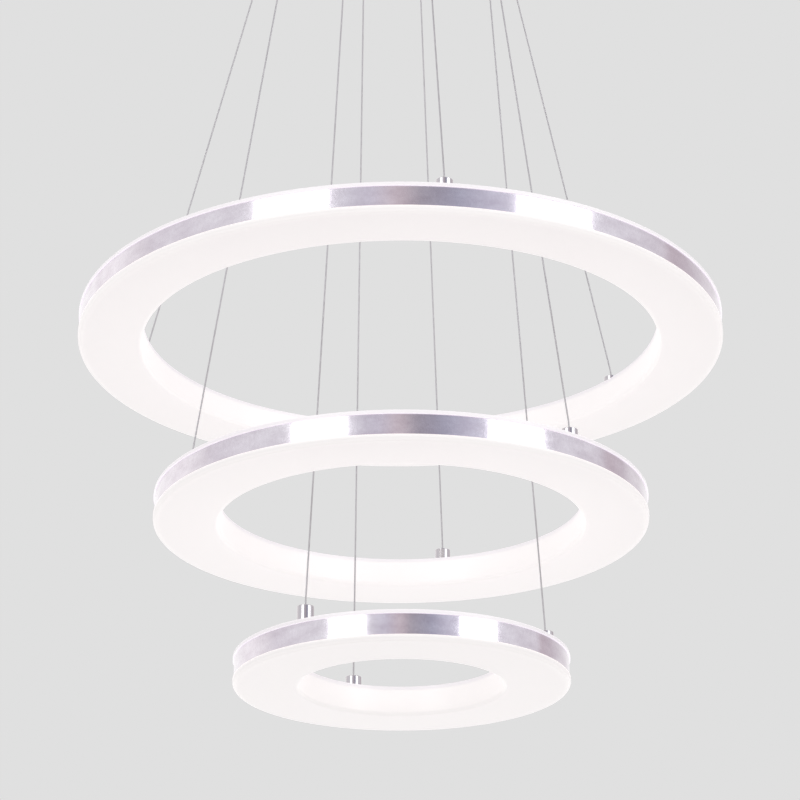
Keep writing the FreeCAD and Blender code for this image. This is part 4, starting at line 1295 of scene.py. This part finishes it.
def softbox(name, azimuth, height, width, tall, radiance):
    """An upright studio lamp turned to the lamp's axis; azimuth is from the camera's side."""
    light = bpy.data.lights.new(name, "AREA")
    light.shape = "RECTANGLE"
    light.size = width
    light.size_y = tall
    light.energy = radiance * math.pi * width * tall
    lamp = link(bpy.data.objects.new(name, light))
    side = math.radians(azimuth)
    away = Vector((math.sin(side), -math.cos(side), 0))
    place = away * SOFTBOX_DISTANCE + Vector((0, 0, height))
    lamp.matrix_world = Matrix.Translation(place) @ away.to_track_quat("Z", "Y").to_matrix().to_4x4()
    lamp.visible_camera = False


def make_lights():
    """Softboxes to the left and right on the camera's side, and a low one behind the lamp."""
    softbox("softbox_left", azimuth=-35.7, height=0.0, width=0.69, tall=1.3, radiance=2.3)
    softbox("softbox_right", azimuth=52.0, height=0.0, width=0.75, tall=1.3, radiance=2.3)
    softbox("low_fill", azimuth=180.0, height=-1.16, width=1.9, tall=0.7, radiance=0.4)


# What polished metal shows of the studio: (azimuth from the camera's side, colour).
STUDIO_ROUND = (
    (-180, (1.02, 1.00, 1.00)), (-160, (1.12, 1.10, 1.10)), (-122, (1.17, 1.13, 1.14)),
    (-104, (0.98, 0.94, 0.96)), (-96, (0.90, 0.86, 0.90)), (-65, (0.95, 0.93, 0.96)),
    (-26, (0.88, 0.87, 0.90)), (-10, (0.74, 0.71, 0.80)), (-1, (0.76, 0.66, 0.69)),
    (7, (0.46, 0.43, 0.48)), (20, (0.48, 0.48, 0.58)), (31, (0.74, 0.73, 0.84)),
    (76, (0.92, 0.90, 0.94)), (105, (0.86, 0.82, 0.86)), (110, (0.69, 0.60, 0.64)),
    (123, (0.73, 0.66, 0.70)), (130, (0.82, 0.77, 0.80)), (144, (0.90, 0.86, 0.88)),
    (160, (1.05, 1.03, 1.03)), (180, (1.02, 1.00, 1.00)),
)
STUDIO_BRIGHTEST = 1.2


def make_studio():
    """The world: soft light from all round, a plain background, and what polished metal mirrors."""
    world = bpy.data.worlds.new("studio")
    bpy.context.scene.world = world
    world.use_nodes = True
    nodes = Nodes(world.node_tree)
    nodes.tree.nodes.clear()
    room = nodes.add("ShaderNodeBackground", {}, {"Color": ROOM_LIGHT, "Strength": ROOM_STRENGTH})
    seen = nodes.add("ShaderNodeBackground", {}, {"Color": grey(BACKGROUND), "Strength": 1.0})
    direction = nodes.add("ShaderNodeTexCoord", output="Generated")
    parts = nodes.add("ShaderNodeSeparateXYZ", {}, {"Vector": direction})
    turn = parts["X"].maths("ARCTAN2", parts["X"], 0 - parts["Y"]) / (2 * math.pi) + 0.5
    stops = [
        ((azimuth + 180) / 360, tuple(part / STUDIO_BRIGHTEST for part in colour))
        for azimuth, colour in STUDIO_ROUND
    ]
    mirrored = nodes.add("ShaderNodeBackground", {}, {
        "Color": turn.ramped(*stops), "Strength": STUDIO_BRIGHTEST})
    rays = nodes.add("ShaderNodeLightPath")
    plain = nodes.add("ShaderNodeMixShader", {}, {
        0: rays["Is Camera Ray"] + rays["Is Transmission Ray"], 1: room, 2: seen})
    shown = nodes.add("ShaderNodeMixShader", {}, {0: rays["Is Glossy Ray"], 1: plain, 2: mirrored})
    nodes.add("ShaderNodeOutputWorld", {}, {"Surface": shown})


# ---------------------------------------------------------------- the lamp
make_camera()
finishes = make_finishes()
make_wires()

TURNED_FORM = turning_tree()
ROUND_COPIES = copying_tree()
WOUND_COIL = coil_tree()
for ring_name, ring_sizes in RINGS.items():
    make_opal_body(ring_name, ring_sizes)
    make_opal_plate(ring_name, ring_sizes)
    make_hoop(ring_name, ring_sizes)
    make_studs(ring_name, ring_sizes)
    make_cover_screws(ring_name, ring_sizes)
make_barrels()
make_bushes()
make_plungers()
make_drivers()
make_terminal_block()
make_mains_leads()
make_wire_tails()
make_side_screws()
make_earth_screw()

slots = {part["node"]: part["material_slot"] for part in frame["record"]["subparts"]}
for node, shape in frame["nodes"].items():
    shape.data.materials.clear()
    shape.data.materials.append(finishes[slots[node]])

make_floor()
make_lights()
make_studio()
bpy.context.scene.view_settings.view_transform = "Standard"
